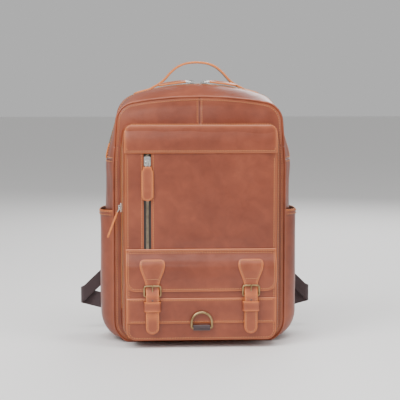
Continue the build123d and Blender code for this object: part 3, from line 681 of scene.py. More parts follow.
def skin_row(y, sign):
    """The band's surface at one depth, on one side, and its outward normals."""
    flat = outline_at(y)
    outward = right_of(flat)
    push = np.array([skin_push(p[0], y, p[1], sign) for p in flat])
    flat = flat + outward * push[:, None]
    points = np.stack([sign * flat[:, 0], np.full(len(flat), float(y)), np.maximum(flat[:, 1], 0.0)], axis=1)
    normals = np.stack([sign * outward[:, 0], np.zeros(len(flat)), outward[:, 1]], axis=1)
    return points, normals


def loop_row(y):
    """One whole loop of the band: up the right side and down the left, without the repeated middle points."""
    right, right_out = skin_row(y, 1)
    left, left_out = skin_row(y, -1)
    return np.concatenate([right, left[::-1][1:-1]]), np.concatenate([right_out, left_out[::-1][1:-1]])


LOOP = 2 * OUTLINE_POINTS - 2


def above_split(j):
    """Whether that point of the loop lies above the seam across the sides."""
    return SPLIT <= j < LOOP - SPLIT


def make_band():
    """Base, sides and arched top of the main compartment, cut where its mouth opens."""
    front_ys = [-45.5, -44.6, -43.0, -40.5, -37.0, -33.0, -29.0, -25.0, -21.0, -17.0, -13.0, -9.5, -7.0]
    ys = front_ys + [-3.5, 0.0, 3.5] + [-y for y in front_ys[::-1]]
    rows = np.array([loop_row(y)[0] for y in ys])
    wears = np.array([[0.32 * math.exp(-(DEEP - abs(y)) / 2.2)] * LOOP for y in ys])
    seam = np.abs(rows[:, :, 2] - SEAM_Z)
    shades = 0.45 * np.exp(-seam / 2.4) * (np.abs(rows[:, :, 0]) > 100)
    cut = len(front_ys) - 1

    def part(name, first, last, keep):
        faces = [face[::-1] for face in grid_faces(last - first, LOOP, wrap=True, keep=keep)]
        piece = make_mesh(name, rows[first:last].reshape(-1, 3), faces, [LEATHER, SUEDE],
                          attributes={"wear": wears[first:last].ravel(), "shade": shades[first:last].ravel()})
        clean_up(piece)
        thicken(piece, LEATHER_THICK * 0.8)
        smooth_more(piece)
        return piece

    low = part("band_lower", 0, len(ys), lambda i, j: not above_split(j))
    rear = part("band_top_rear", len(ys) - 1 - cut, len(ys), lambda i, j: above_split(j))
    front = part("band_top_front", 0, cut + 1, lambda i, j: above_split(j))
    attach(low, "bag")
    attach(rear, "bag")
    blend_mouth(front)
    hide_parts("base_panel", "side_gusset_left", "side_gusset_right")
    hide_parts("zip_strip_rear")
    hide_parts("zip_strip_front")


def blend_mouth(piece):
    """Bakes the piece's transform into its mesh."""
    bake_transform(piece)


def full_loop(name):
    """A section's whole outline in x and z, closed."""
    right = HALVES[name]
    left = right[::-1][1:-1] * (-1, 1)
    return np.concatenate([right, left])


def edge_distance(points, loop):
    """Distance from each point to a closed outline, in the plane."""
    starts, ends = loop, np.roll(loop, -1, axis=0)
    best = np.full(len(points), 1e9)
    for a, b in zip(starts, ends):
        d = b - a
        t = np.clip(((points - a) @ d) / max(d @ d, 1e-9), 0, 1)
        best = np.minimum(best, np.linalg.norm(points - (a + t[:, None] * d), axis=1))
    return best


def z_span(loop, x):
    """Lowest and highest z of an outline at x."""
    x = abs(x)
    right = loop[loop[:, 0] >= 0]
    middle = right[:, 1] > 150
    low, high = right[~middle], right[middle]
    low, high = low[np.argsort(low[:, 0])], high[np.argsort(high[:, 0])]
    return np.interp(x, low[:, 0], low[:, 1]), np.interp(x, high[:, 0], high[:, 1])


def spread(low, high, count, crowd=0.6):
    """Marks from low to high that crowd towards both ends."""
    t = np.linspace(-1, 1, count)
    t = np.sign(t) * (1 - (1 - np.abs(t)) ** (1 + crowd)) if crowd else t
    return low + (t + 1) / 2 * (high - low)


def main_face_y(x, z, gap):
    """Depth of the main compartment's front, gap from its outline."""
    seam = 1.3 * math.exp(-(x / 1.5) ** 2) * step_up(z, 325, 333)
    puff = 1.5 * (1 - math.exp(-gap / 3.0)) + 2.3 * (1 - math.exp(-gap / 15.0)) * step_up(z, 280, 330)
    waves = 0.7 * soft_noise(x, 0, z, 45.0, 12.0) * min(1.0, gap / 8.0)
    lean = 3.2 * step_up(z, 333, 378) * min(1.0, gap / 12.0)
    return -(46.4 + puff + waves - seam - lean)


def make_main_front():
    """The main compartment's front: the part at the mouth, and the rim round the organizer."""
    loop = full_loop("front")
    # the part above the organizer, at the mouth
    edge_x = float(np.interp(SPLIT_Z - 3, HALVES["front"][:, 1], HALVES["front"][:, 0])) - 0.4
    xs = spread(-edge_x, edge_x, 121, 0.5)
    xs = np.unique(np.concatenate([xs, [-3, -1.8, -0.9, 0, 0.9, 1.8, 3]]))
    ts = spread(0, 1, 27, 0.35)
    verts, wears, shades = [], [], []
    for t in ts:
        row = []
        for x in xs:
            top = z_span(loop, x)[1]
            row.append((x, SPLIT_Z - 3 + t * (top - SPLIT_Z + 3)))
        gaps = edge_distance(np.array(row), loop)
        for (x, z), gap in zip(row, gaps):
            verts.append((x, main_face_y(x, z, gap), z))
            beside_seam = 0.25 * math.exp(-(abs(x) - 2.2) ** 2 / 0.8) * (z > 330)
            wears.append(0.30 * math.exp(-gap / 3.0) + beside_seam)
            shades.append(0.7 * math.exp(-(x / 0.8) ** 2) * (z > 330))
    upper = make_mesh("mouth_front", verts, grid_faces(len(ts), len(xs)), [LEATHER, SUEDE],
                      attributes={"wear": wears, "shade": shades})
    thicken(upper, 1.6)
    blend_mouth(upper)
    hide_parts("mouth_panel")
    for side in (-1, 1):
        line = [(side * 3.6, main_face_y(3.6, z, 30), z) for z in np.linspace(333, 367, 12)]
        stitch("mouth", line, (0, -1, 0))
    # the rim below it, most of which the organizer covers
    half = HALVES["front"][HALVES["front"][:, 1] <= SPLIT_Z]
    insets = [0, 0.7, 1.6, 3.0, 5.0, 8.0, 12.0, 18.0]
    path = mirrored(half)
    inward = -right_of(path)
    verts, wears = [], []
    for inset in insets:
        for point, direction in zip(path, inward):
            x, z = point + inset * direction
            verts.append((x, main_face_y(x, z, inset), z))
            wears.append(0.30 * math.exp(-inset / 3.0))
    rim = make_mesh("main_front_rim", verts, grid_faces(len(insets), len(path)), [LEATHER, SUEDE],
                    attributes={"wear": wears})
    settle(rim)
    inner = 14.0
    back = [(p[0] * (1 - inner / 129), -45.4, 8 + p[1] * 0.97) for p in path[::3]]
    plain = make_mesh("main_front_wall", back, [tuple(range(len(back)))], [SUEDE])
    settle(plain)
    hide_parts("main_front_panel")
    # stitches beside the piping
    inset = HALVES["front"] - right_of(HALVES["front"]) * 4.2
    for sign in (-1, 1):
        line = np.array([(sign * p[0], main_face_y(p[0], p[1], 4.2), p[1]) for p in inset])
        stitch("bag", line[line[:, 2] <= SPLIT_Z], (0, -1, 0))
        stitch("mouth", line[line[:, 2] >= SPLIT_Z], (0, -1, 0))


def make_piping():
    """A covered cord in the main compartment's seams. The front one is in two, split at the mouth."""
    radius = 1.75
    for section, y in (("front", RIM_FRONT - 0.9), ("back", RIM_BACK + 0.9)):
        half = HALVES[section]
        out = half + right_of(half) * 0.7
        out[:, 1] = np.maximum(out[:, 1], 1.9)
        right = np.stack([out[:, 0], np.full(len(out), y), out[:, 1]], axis=1)
        if section == "front":
            high = right[right[:, 2] >= SPLIT_Z - 2.5]
            high = np.concatenate([high, (high * (-1, 1, 1))[::-1][1:]])
            lower = tube("piping_front_low", mirrored(right[right[:, 2] <= SPLIT_Z]), radius, LEATHER_TRIM)
            upper = tube("piping_front_high", high, radius, LEATHER_TRIM)
            blend_mouth(upper)
            settle(lower, nodes=["piping"])
        else:
            settle(tube("piping_back", mirrored(right * (-1, 1, 1)), radius, LEATHER_TRIM))


make_band()
make_main_front()
make_piping()


# ---------------------------------------------------------------- organizer
def seam_stitch(group, points, normals, gap=3.0, **settings):
    """Stitches along a line that may have breaks in it."""
    points = np.asarray(points, float)
    normals = np.broadcast_to(np.asarray(normals, float), points.shape)
    start = 0
    for k in range(1, len(points) + 1):
        if k == len(points) or np.linalg.norm(points[k] - points[k - 1]) > gap:
            if k - start > 2:
                stitch(group, points[start:k], normals[start:k], **settings)
            start = k


def rim_stitch(group, strip, inset, where=None, height=None, **settings):
    """Stitches on the outer face of a strip, a fixed distance inside its edge."""
    origins, sides, normals, halves, thick = strip
    run = run_of(origins)
    halves = np.broadcast_to(np.asarray(halves, float), len(run))
    right = np.stack([halves, run], axis=1)
    shape = np.concatenate([[(0, 0)], right, [(0, run[-1])]])
    shape = np.concatenate([shape, shape[::-1][1:-1] * (-1, 1)])
    shape = resample(np.concatenate([shape, shape[:1]]), 1.0)[:-1]
    along = np.roll(shape, -1, axis=0) - np.roll(shape, 1, axis=0)
    along /= np.maximum(np.linalg.norm(along, axis=1, keepdims=True), 1e-9)
    inner = shape + inset * np.stack([-along[:, 1], along[:, 0]], axis=1)
    keep = edge_distance(inner, shape) >= 0.94 * inset
    if where is not None:
        keep &= np.array([where(v, s) for v, s in inner])
    inner = inner[keep]
    middle, across, out = (at_marks(inner[:, 1], run, rows) for rows in (origins, sides, normals))
    lift = thick / 2 + (np.array([height(v, s) for v, s in inner]) if height else 0)
    points = middle + inner[:, :1] * across + out * np.reshape(lift, (-1, 1))
    if len(points) > 3 and np.linalg.norm(points[0] - points[-1]) < 4:
        points, out = np.concatenate([points, points[:1]]), np.concatenate([out, out[:1]])
    seam_stitch(group, points, out, gap=6.0, **settings)


def strip_piece(name, origins, sides, normals, halves, thick, materials, body=None, slot="leather",
                **settings):
    """A leaf, riding a body if one is given, and the numbers its stitches need. slot is not used."""
    origins, normals = np.asarray(origins, float), np.asarray(normals, float)
    sides = np.broadcast_to(np.asarray(sides, float), origins.shape)
    piece = leaf(name, origins, sides, normals, halves, thick, materials, **settings)
    if body:
        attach(piece, body)
    return piece, (origins, sides, normals, halves, thick)


def upright_line(line, x=0.0):
    """Origins and normals of a strip whose middle line is (y, z) points at x, with its outer face at -Y."""
    line = np.asarray(line, float)
    along = tangents(line)
    normals = np.stack([np.zeros(len(line)), along[:, 1], -along[:, 0]], axis=1)
    if normals[:, 1].mean() > 0:
        normals = -normals
    return np.stack([np.full(len(line), float(x)), line[:, 0], line[:, 1]], axis=1), normals


ORGANIZER = [(-47.2, 120.0), (-52.0, 118.7), (-57.0, 117.0), (-61.3, 117.0), (-67.0, 117.0), (-72.7, 117.0),
             (-77.0, 117.0), (-80.0, 116.4), (-83.0, 115.2), (-85.4, 113.4)]
ORGANIZER_LOW, ORGANIZER_HIGH = 10.0, 331.0
FACE_HALF = 112.6  # half width of the organizer's front
BAND_LOW, BAND_HIGH, BAND_HALF = 289.5, 331.6, 113.2  # the strip folded over its upper edge
ZIP_Z = (146.0, 289.0)
SIDE_ZIP_Z = (60.0, 300.0)
POCKET_ZIP_X = -79.6
ZIP_HALF = 5.75


def organizer_outline(half, y=-60.0):
    """Right half of the organizer's outline at one depth."""
    low = ORGANIZER_LOW
    high = ORGANIZER_HIGH - 5.0 * step_up(-y, 78.0, 87.0)
    points = [(0, low), (half, low), (half, 302), (half - 4, high), (0, high)]
    return resample_count(round_path(points, [22, 60, 12], 1.0), 200)


def make_organizer_band():
    """The organizer's sides, bottom and top, with the side zip's slot."""
    rows = []
    for y, half in ORGANIZER:
        right = organizer_outline(half, y)
        out = right_of(right)
        loop = []
        for sign in (1, -1):
            fade = math.sin(math.pi * min(max((y + 86) / 39, 0), 1))
            push = np.array([fade * (0.9 * soft_noise(y * 4, sign * 20, p[1], 60.0, 7.7) - 0.5
                                     * step_up(p[1], 20, 60)) for p in right])
            side = right + out * push[:, None]
            loop.append(np.stack([sign * side[:, 0], np.full(len(side), y), side[:, 1]], axis=1))
        rows.append(np.concatenate([loop[0], loop[1][::-1][1:-1]]))
    rows = np.array(rows)
    columns = rows.shape[1]
    slot_rows = [k for k, (y, _) in enumerate(ORGANIZER) if -72.8 < y < -61.2]

    def keep(i, j):
        middle = (rows[i, j] + rows[i, (j + 1) % columns]) / 2
        in_slot = i in slot_rows[:-1] and middle[0] < -100 and SIDE_ZIP_Z[0] < middle[2] < SIDE_ZIP_Z[1]
        return not in_slot

    wears = [[0.30 * math.exp(-(y + 86) / 2.0)] * columns for y, _ in ORGANIZER]
    band = make_mesh("organizer_sides", rows.reshape(-1, 3),
                     grid_faces(len(rows), columns, wrap=True, keep=keep),
                     [LEATHER, SUEDE], attributes={"wear": np.ravel(wears)})
    clean_up(band)
    thicken(band, 1.6)
    smooth_more(band)
    settle(band, nodes=["organizer_band"])
    right = organizer_outline(114.6)
    along = tangents(right)
    for sign in (-1, 1):
        out = np.stack([sign * along[:, 1], np.zeros(len(right)), -along[:, 0]], axis=1)
        line = np.stack([sign * right[:, 0], np.full(len(right), -82.2), right[:, 1]], axis=1) + 1.2 * out
        stitch("bag", line[line[:, 2] > 12], out[line[:, 2] > 12])
    for y in (-74.6, -59.4):
        stitch("bag", [(-117.9, y, z) for z in (SIDE_ZIP_Z[0] - 2, 180, SIDE_ZIP_Z[1] + 2)], (-1, 0, 0))
    for z in (SIDE_ZIP_Z[0] - 2.5, SIDE_ZIP_Z[1] + 2.5):
        stitch("bag", [(-117.9, -74.0, z), (-117.9, -60.0, z)], (-1, 0, 0))


def top_lean(z):
    """How far the organizer's upper edge leans back."""
    return 4.6 * max((z - 304.0) / 27.0, 0.0) ** 2


def organizer_face_y(x, z):
    """Outer face of the organizer's front."""
    gap = max(min(FACE_HALF - abs(x), z - ORGANIZER_LOW, ORGANIZER_HIGH - z), 0.0)
    round_off = 1.6 * math.exp(-gap / 1.6)
    puff = 1.3 * (1 - math.exp(-gap / 30.0))
    near_zip = math.exp(-max(abs(x - POCKET_ZIP_X) - ZIP_HALF, 0) / 8.0) * step_up(z, 120, 150)
    waves = 0.6 * soft_noise(x, 0, z, 58.0, 21.0) * min(1.0, gap / 10.0)
    swelling = (puff + waves) * (1 - 0.8 * near_zip) * step_up(z, 138, 165)
    return -88.0 + top_lean(z) * (z < 289) + round_off - swelling


def make_organizer_front():
    """The organizer's front with its zip's slot, and the strip over its upper edge."""
    half, left, right = FACE_HALF, POCKET_ZIP_X - ZIP_HALF, POCKET_ZIP_X + ZIP_HALF
    bottom, top = ORGANIZER_LOW, ORGANIZER_HIGH
    xs = np.unique(np.concatenate([np.linspace(-half, half, 81), [left, right], [left - 1.2, right + 1.2],
                                   half - np.array([0.5, 1.2, 2.2, 3.6]),
                                   np.array([0.5, 1.2, 2.2, 3.6]) - half]))
    xs = xs[(np.abs(xs - left) > 0.8) | (xs == left)]
    xs = xs[(np.abs(xs - right) > 0.8) | (xs == right)]
    xs = xs[(xs <= left) | (xs >= right)]
    zs = np.unique(np.concatenate([eased(bottom, top, 5.0, 22.0, 12.0), ZIP_Z,
                                   [ZIP_Z[0] - 1.2, ZIP_Z[1] + 1.2]]))
    zs = zs[(np.abs(zs - ZIP_Z[0]) > 0.9) | (zs == ZIP_Z[0])]
    zs = zs[(np.abs(zs - ZIP_Z[1]) > 0.9) | (zs == ZIP_Z[1])]
    halves = rounded_half(zs, bottom, top, half, 22.0, 12.0)
    verts, wears = [], []
    for z, width in zip(zs, halves):
        for x in xs:
            inner = half - 24.0
            if abs(x) > inner:
                x = math.copysign(inner + (abs(x) - inner) * (width - inner) / 24.0, x)
            verts.append((x, organizer_face_y(x, z), z))
            gap = min(width - abs(x), z - bottom, top - z)
            near = max(abs(x - POCKET_ZIP_X) - ZIP_HALF, ZIP_Z[0] - z, z - ZIP_Z[1])
            wears.append(0.45 * math.exp(-max(gap, 0) / 2.4) + 0.45 * math.exp(-abs(near) / 1.4))
    hole = lambda i, j: xs[j] == left and ZIP_Z[0] <= zs[i] < ZIP_Z[1]
    front = make_mesh("organizer_front_leather", verts,
                      grid_faces(len(zs), len(xs), keep=lambda i, j: not hole(i, j)), [LEATHER, EDGE],
                      attributes={"wear": wears})
    clean_up(front)
    thicken(front, 1.8)
    add_modifier(front, "BEVEL", width=0.45 * MM, segments=2, limit_method="ANGLE", angle_limit=0.9)
    settle(front, nodes=["organizer_front"])
    box = [(left - 3.0, ZIP_Z[0] - 3.0), (right + 3.0, ZIP_Z[0] - 3.0), (right + 3.0, ZIP_Z[1] + 3.0),
           (left - 3.0, ZIP_Z[1] + 3.0), (left - 3.0, ZIP_Z[0] - 3.0)]
    for (x0, z0), (x1, z1) in zip(box, box[1:]):
        marks = zip(np.linspace(x0, x1, 12), np.linspace(z0, z1, 12))
        line = [(x, organizer_face_y(x, z), z) for x, z in marks]
        stitch("bag", line, (0, -1, 0))
    edge = round_path([(0, 14), (half - 4, 14), (half - 4, 284)], [19], 1.0)
    for sign in (-1, 1):
        stitch("bag", [(sign * x, organizer_face_y(x, z), z) for x, z in edge], (0, -1, 0))
    # the narrow strip folded over the organizer's upper edge
    zs = eased(BAND_LOW, BAND_HIGH, 3.0, 0.0, 13.0)
    line = [(organizer_face_y(0, z) - 0.75 - 0.4 * (z > 291), z) for z in zs]
    line = [(y + top_lean(z), z) for y, z in line]
    origins, normals = upright_line(line)
    halves = rounded_half(zs, BAND_LOW, BAND_HIGH, BAND_HALF, 0.0, 13.0)
    _, strip = strip_piece("top_band_leather", origins, (1, 0, 0), normals, halves, 1.5,
                           [LEATHER, EDGE, SUEDE], "bag", columns=np.linspace(-112.8, 112.8, 61), wear=0.5,
                           shape=lambda v, k: -1.6 * math.exp(-(BAND_HALF - abs(v)) / 1.6)
                           + 0.4 * soft_noise(v, 3.0, zs[k], 50.0, 4.0))
    rim_stitch("bag", strip, 3.6, where=lambda v, s: s < 8, height=lambda v, s: 0.15)
    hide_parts("top_band")
    # a row of stitches across the sloping top of the organizer
    stitch("bag", [(x, -84.5, 332.0) for x in np.linspace(-104, 104, 20)], (0, 0, 1))


TOOTH_PITCH = 2.3


def zip_chain(name, body, path, outward, tape=(2.8, 8.6), nodes=(), signs=(-1, 1), sink=0.0):
    """Two rows of metal teeth on their tapes, along an evenly spaced path. signs picks one or both rows."""
    path = np.asarray(path, float)
    outward = np.broadcast_to(np.asarray(outward, float), path.shape)
    path = path - sink * outward
    along = tangents(path)
    side = np.cross(along, outward)
    side /= np.linalg.norm(side, axis=1, keepdims=True)
    verts, faces, kinds = [], [], []
    for sign in signs:
        start = len(verts)
        for p, s, n in zip(path, side, outward):
            for v, h in ((tape[0] - 1.0, 0.35), (tape[1], 0.35), (tape[1], -0.35), (tape[0] - 1.0, -0.35)):
                verts.append(p + sign * v * s + (h - 1.0) * n)
        faces += grid_faces(len(path), 4, wrap=True, start=start)
        kinds += [0] * (4 * (len(path) - 1))
    for p, s, n, a in zip(path, side, outward, along):
        for sign in signs:
            centre = p + a * (TOOTH_PITCH / 4 * sign)
            start = len(verts)
            for u in (-0.30, 0.30):
                for v, h in ((-0.25, -0.75), (-0.25, 0.95), (1.0, 1.1), (2.1, 0.8), (2.1, -0.75)):
                    verts.append(centre + a * (u * TOOTH_PITCH) + sign * v * s + h * n)
            ring = [start + j for j in range(5)]
            faces += [tuple(ring), tuple(r + 5 for r in ring[::-1])]
            faces += [(ring[j], ring[j] + 5, ring[(j + 1) % 5] + 5, ring[(j + 1) % 5]) for j in range(5)]
            kinds += [1] * 7
    chain = make_mesh(name, verts, faces, [TAPE, TEETH], kinds)
    clean_up(chain, outward=True)
    chain.data.polygons.foreach_set("use_smooth", [False] * len(chain.data.polygons))
    if body:
        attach(chain, body)
        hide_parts(*nodes)
    return chain


def make_zips():
    """The organizer's side zip and the upright zip on its front."""
    zip_chain("pocket_zip", "bag",
              [(POCKET_ZIP_X, -87.2, z) for z in np.arange(ZIP_Z[0] + 0.8, ZIP_Z[1], TOOTH_PITCH)],
              (0, -1, 0), tape=(2.8, 6.9), nodes=("pocket_chain",))
    zip_chain("organizer_zip", "bag",
              [(-116.2, -67.0, z) for z in np.arange(SIDE_ZIP_Z[0] + 0.8, SIDE_ZIP_Z[1], TOOTH_PITCH)],
              (-1, 0, 0), tape=(2.8, 6.9), nodes=("organizer_chain",))


make_organizer_band()
make_organizer_front()
make_zips()


# ---------------------------------------------------------------- flap pocket
POCKET_HALF, POCKET_LOW, POCKET_HIGH = 111.0, 12.0, 118.0
CLOSURE_X = 73.0


def pocket_outline(half, low):
    """Right side of the flap pocket's band, from the middle of its bottom up to its open top."""
    return resample_count(round_path([(0, low), (half, low), (half, POCKET_HIGH)], [14], 1.0), 110)


def make_flap_pocket():
    """The pocket under the flap: its sides, its front and the strip across it."""
    rows = []
    for y, half in [(-87.6, 110.4), (-89.0, 110.9), (-91.0, 111.2), (-93.5, 111.3), (-95.5, 111.0),
                    (-96.8, 110.3)]:
        right = pocket_outline(half, POCKET_LOW + 111.2 - half)
        out = np.stack([right[:, 0], np.full(len(right), y), right[:, 1]], axis=1)
        rows.append(mirrored(out))
    rows = np.array(rows)
    wears = np.repeat([0.1, 0.0, 0.0, 0.05, 0.15, 0.35], rows.shape[1])
    band = make_mesh("flap_pocket_sides", rows.reshape(-1, 3), grid_faces(*rows.shape[:2]), [LEATHER, SUEDE],
                     attributes={"wear": wears})
    thicken(band, 1.4)
    smooth_more(band)
    settle(band, nodes=["flap_pocket_band"])
    zs = eased(POCKET_LOW, POCKET_HIGH, 3.5, 14.0, 0.0)
    origins, normals = upright_line([(-97.25, z) for z in zs])
    halves = rounded_half(zs, POCKET_LOW, POCKET_HIGH, POCKET_HALF, 14.0, 0.0)

    def swell(v, k):
        gap = min(halves[k] - abs(v), zs[k] - POCKET_LOW)
        waves = 0.35 * soft_noise(v, 9.0, zs[k], 40.0, 6.0) * min(1, gap / 9)
        return -0.9 * math.exp(-max(gap, 0) / 1.4) + waves

    columns = np.unique(np.concatenate([np.linspace(-110.5, 110.5, 75), [-109.6, -108.2, 108.2, 109.6]]))
    piece, strip = strip_piece("flap_pocket_leather", origins, (1, 0, 0), normals, halves, 1.4,
                               [LEATHER, EDGE, SUEDE], "bag", columns=columns, shape=swell, wear=0.35)
    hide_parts("flap_pocket_front")
    rim_stitch("bag", strip, 3.4, where=lambda v, s: s < 98 and abs(v) > 70 or s < 8)
    # the strip across the pocket
    zs = np.linspace(37.2, 75.2, 14)
    origins, normals = upright_line([(-98.6, z) for z in zs])
    piece, strip = strip_piece("pocket_strip_leather", origins, (1, 0, 0), normals, 110.9, 1.15,
                               [LEATHER, EDGE], "bag", columns=np.linspace(-110.4, 110.4, 61), wear=0.6,
                               shape=lambda v, k: 0.25 * soft_noise(v, 5.0, zs[k], 36.0, 2.0))
    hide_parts("pocket_strip")
    rim_stitch("bag", strip, 3.0, where=lambda v, s: abs(v) < 106)


FLAP_LINE = round_path([(-89.4, 147.5), (-89.6, 142.0), (-99.4, 124.5), (-99.9, 104.0), (-99.5, 85.4)],
                       [6, 24, 60], 2.4)


def flap_blend(piece):
    """Bakes the flap's transform into its mesh."""
    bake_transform(piece)


def make_flap():
    """The flap, with soft dents and two rows of stitches at its lower edge."""
    line = FLAP_LINE
    run = run_of(line)
    marks = run[-1] - eased(0.0, run[-1], 2.6, 15.0, 0.0)[::-1]
    line = at_marks(marks, run, line)
    origins, normals = upright_line(line)
    halves = rounded_half(marks, 0.0, run[-1], 111.6, 0.0, 15.0)

    def drape(v, k):
        low = step_up(marks[k], 12, 50)
        dents = 0.9 * soft_noise(v, 0.0, marks[k], 52.0, 8.0) + 0.5 * soft_noise(v, 0.0, marks[k] * 0.4, 26.0,
                                                                                 1.0)
        return low * dents + 0.5 * low * (1 - (v / 111.6) ** 2)

    columns = np.unique(np.concatenate([np.linspace(-111.1, 111.1, 81), [-110.2, -108.6, 108.6, 110.2]]))
    piece, strip = strip_piece("flap_leather", origins, (1, 0, 0), normals, halves, 2.0,
                               [LEATHER, EDGE, SUEDE],
                               columns=columns, shape=drape, wear=0.6, wear_width=2.0)
    flap_blend(piece)
    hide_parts("flap")
    lift = lambda v, s: drape(v, int(np.argmin(np.abs(marks - s))))
    rim_stitch("flap", strip, 3.4, height=lift, where=lambda v, s: s < 6 or s > 9)
    rim_stitch("flap", strip, 6.2, height=lift, where=lambda v, s: s < 9 and abs(v) < 106)


# the two straps: a shield sewn on the flap, running down into a tail with a rounded tip
STRAP_LINE = [(-97.4, 132.6), (-101.5, 125.4), (-101.9, 116.0), (-101.7, 101.0), (-102.0, 94.8),
              (-102.7, 90.0),
              (-105.6, 84.5), (-107.2, 78.5), (-106.3, 70.0), (-104.9, 60.0), (-104.2, 45.0), (-103.8, 22.6)]
STRAP_SHAPE = [(132.6, 13.2), (131.9, 15.6), (130.6, 17.2), (128.6, 18.2), (126.0, 18.6), (122.0, 18.4),
               (117.0, 17.2), (112.0, 15.3), (107.0, 13.3), (103.0, 11.8), (100.0, 10.8), (96.0, 10.0),
               (92.0, 9.6)]


TAIL_HALF, TAIL_END_Z = 9.6, 22.6


def strap_half(z):
    """Half width of a buckled strap at that height, with its rounded tip."""
    if z > 92:
        heights = [p[0] for p in STRAP_SHAPE[::-1]]
        return float(np.interp(z, heights, [p[1] for p in STRAP_SHAPE[::-1]]))
    tip = z - TAIL_END_Z
    if tip < TAIL_HALF:
        return max(math.sqrt(max(TAIL_HALF**2 - (TAIL_HALF - tip) ** 2, 0.0)), 0.8)
    return TAIL_HALF


def closure_blend(piece):
    """Bakes a buckled strap's transform into its mesh."""
    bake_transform(piece)


def make_closure(side):
    """A buckled strap from its shield to its tip, with its stitches and its punched hole."""
    word = word_of(side)
    x = side * CLOSURE_X
    path = round_path(STRAP_LINE, [7, 20, 40, 10, 8, 9, 7, 12, 30, 60], 0.8)
    index_at = lambda z: np.interp(z, path[::-1, 1], np.arange(len(path))[::-1])
    low = np.linspace(0, TAIL_HALF, 9)
    tip = TAIL_END_Z + TAIL_HALF * (1 - np.cos(low / TAIL_HALF * math.pi / 2))
    marks = np.unique(np.concatenate([index_at(tip), index_at([p[0] for p in STRAP_SHAPE]),
                                      np.arange(0, index_at(32.2), 1.9)]))
    line = at_marks(marks, np.arange(len(path)), path)
    origins, normals = upright_line(line, x)
    halves = np.array([strap_half(z) for z in line[:, 1]])

    def cushion(v, k):
        z = line[k][1]
        return 0.35 * step_up(z, 101, 112) * (1 - (v / halves[k]) ** 2)

    def rubbed(v, k):
        bends = 0.30 * math.exp(-((line[k][1] - 81.0) / 4.0) ** 2)
        below_keeper = 0.55 * math.exp(-((line[k][1] - 50.0) / 5.5) ** 2) * (side < 0)
        return (bends + below_keeper) * (0.7 + 0.3 * soft_noise(v, 0, line[k][1], 9.0, 3.0))

    piece, strip = strip_piece(f"strap_{word}", origins, (1, 0, 0), normals, halves, 2.0,
                               [LEATHER_TRIM, EDGE, SUEDE],
                               across=15, wear=0.75, wear_width=1.8, shape=cushion, rubbed=rubbed)
    closure_blend(piece)
    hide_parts(f"strap_tail_{word}", "flap_shields")
    rim_stitch(f"strap_{word}", strip, 2.6, **FINE, radius=0.36,
               where=lambda v, s: not 36.5 < s < 56, height=lambda v, s: 0.25 if s < 34 else 0.0)
    stitch(f"strap_{word}", [(x - 8.0, -102.9, 104.2), (x + 8.0, -102.9, 104.2)], (0, -1, 0), **FINE,
           radius=0.36)
    make_punched_hole(side, line)


def make_punched_hole(side, line):
    """The next hole of the strap, below the buckle: a dark disc on the strap, painted shade for the hole."""
    x, word = side * CLOSURE_X, word_of(side)
    ring = np.linspace(0, 2 * math.pi, 12, endpoint=False)
    y = float(np.interp(73.2, line[::-1, 1], line[::-1, 0])) - 1.15
    verts = [(x + r * math.cos(a), y + depth, 73.2 + r * math.sin(a))
             for r, depth in ((1.3, 0.0), (0.9, 0.35)) for a in ring]
    faces = grid_faces(2, 12, wrap=True) + [tuple(range(12)), tuple(range(12, 24))]
    # painted shade: the hole is a dark disc, not an opening
    hole = make_mesh(f"strap_hole_shade_{word}", verts, faces, [BOARD_AND_HOLE_SHADE])
    clean_up(hole, outward=True)
    closure_blend(hole)


def make_buckle_strap(side):
    """The short strap that holds the buckle: round its bar, then flat on the pocket."""
    x, word = side * CLOSURE_X, word_of(side)
    heel_y, heel_z, r = -103.25, 79.0, 2.35
    loop = [(heel_y + 1.9, 56.0), (heel_y + 1.9, heel_z)]
    loop += [(heel_y + r * math.cos(a), heel_z + r * math.sin(a)) for a in np.linspace(0.1, math.pi - 0.2, 9)]
    loop += [(heel_y - 0.6, heel_z - 3.5), (heel_y + 0.45, heel_z - 7.0), (heel_y + 0.5, 56.0)]
    loop = round_path(loop[::-1], [4] * (len(loop) - 2), 1.1)
    along = tangents(loop)
    origins = np.stack([np.full(len(loop), x), loop[:, 0], loop[:, 1]], axis=1)
    normals = np.stack([np.zeros(len(loop)), -along[:, 1], along[:, 0]], axis=1)
    piece, _ = strip_piece(f"buckle_strap_{word}", origins, (1, 0, 0), normals, 9.0, 1.3,
                           [LEATHER_TRIM, EDGE], f"closure_{word[0]}", across=7, wear=0.5)
    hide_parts(f"chape_{word}")


def make_keeper(side):
    """A band of leather round the strap's tail and the short strap."""
    x, word = side * CLOSURE_X, word_of(side)
    corners_xy = [(0, -100.05), (-11.6, -100.05), (-11.6, -108.3), (11.6, -108.3), (11.6, -100.05),
                  (0, -100.05)]
    path = round_path(corners_xy, [1.6, 3.2, 3.2, 1.6], 1.0)
    bow = np.array([0.9 * (1 - (p[0] / 11.6) ** 2) if p[1] < -106 else 0 for p in path])
    path[:, 1] += bow * 0.45
    origins = np.stack([x + path[:, 0], path[:, 1], np.full(len(path), 63.5)], axis=1)
    along = tangents(path)
    normals = np.stack([along[:, 1], -along[:, 0], np.zeros(len(path))], axis=1)
    if normals[np.argmin(path[:, 1])][1] > 0:
        normals = -normals
    piece, _ = strip_piece(f"keeper_band_{word}", origins, (0, 0, 1), normals, 7.2, 1.35,
                           [LEATHER_TRIM, EDGE, SUEDE],
                           f"closure_{word[0]}", across=9, wear=0.8, wear_width=1.5)
    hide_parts(f"keeper_{word}")


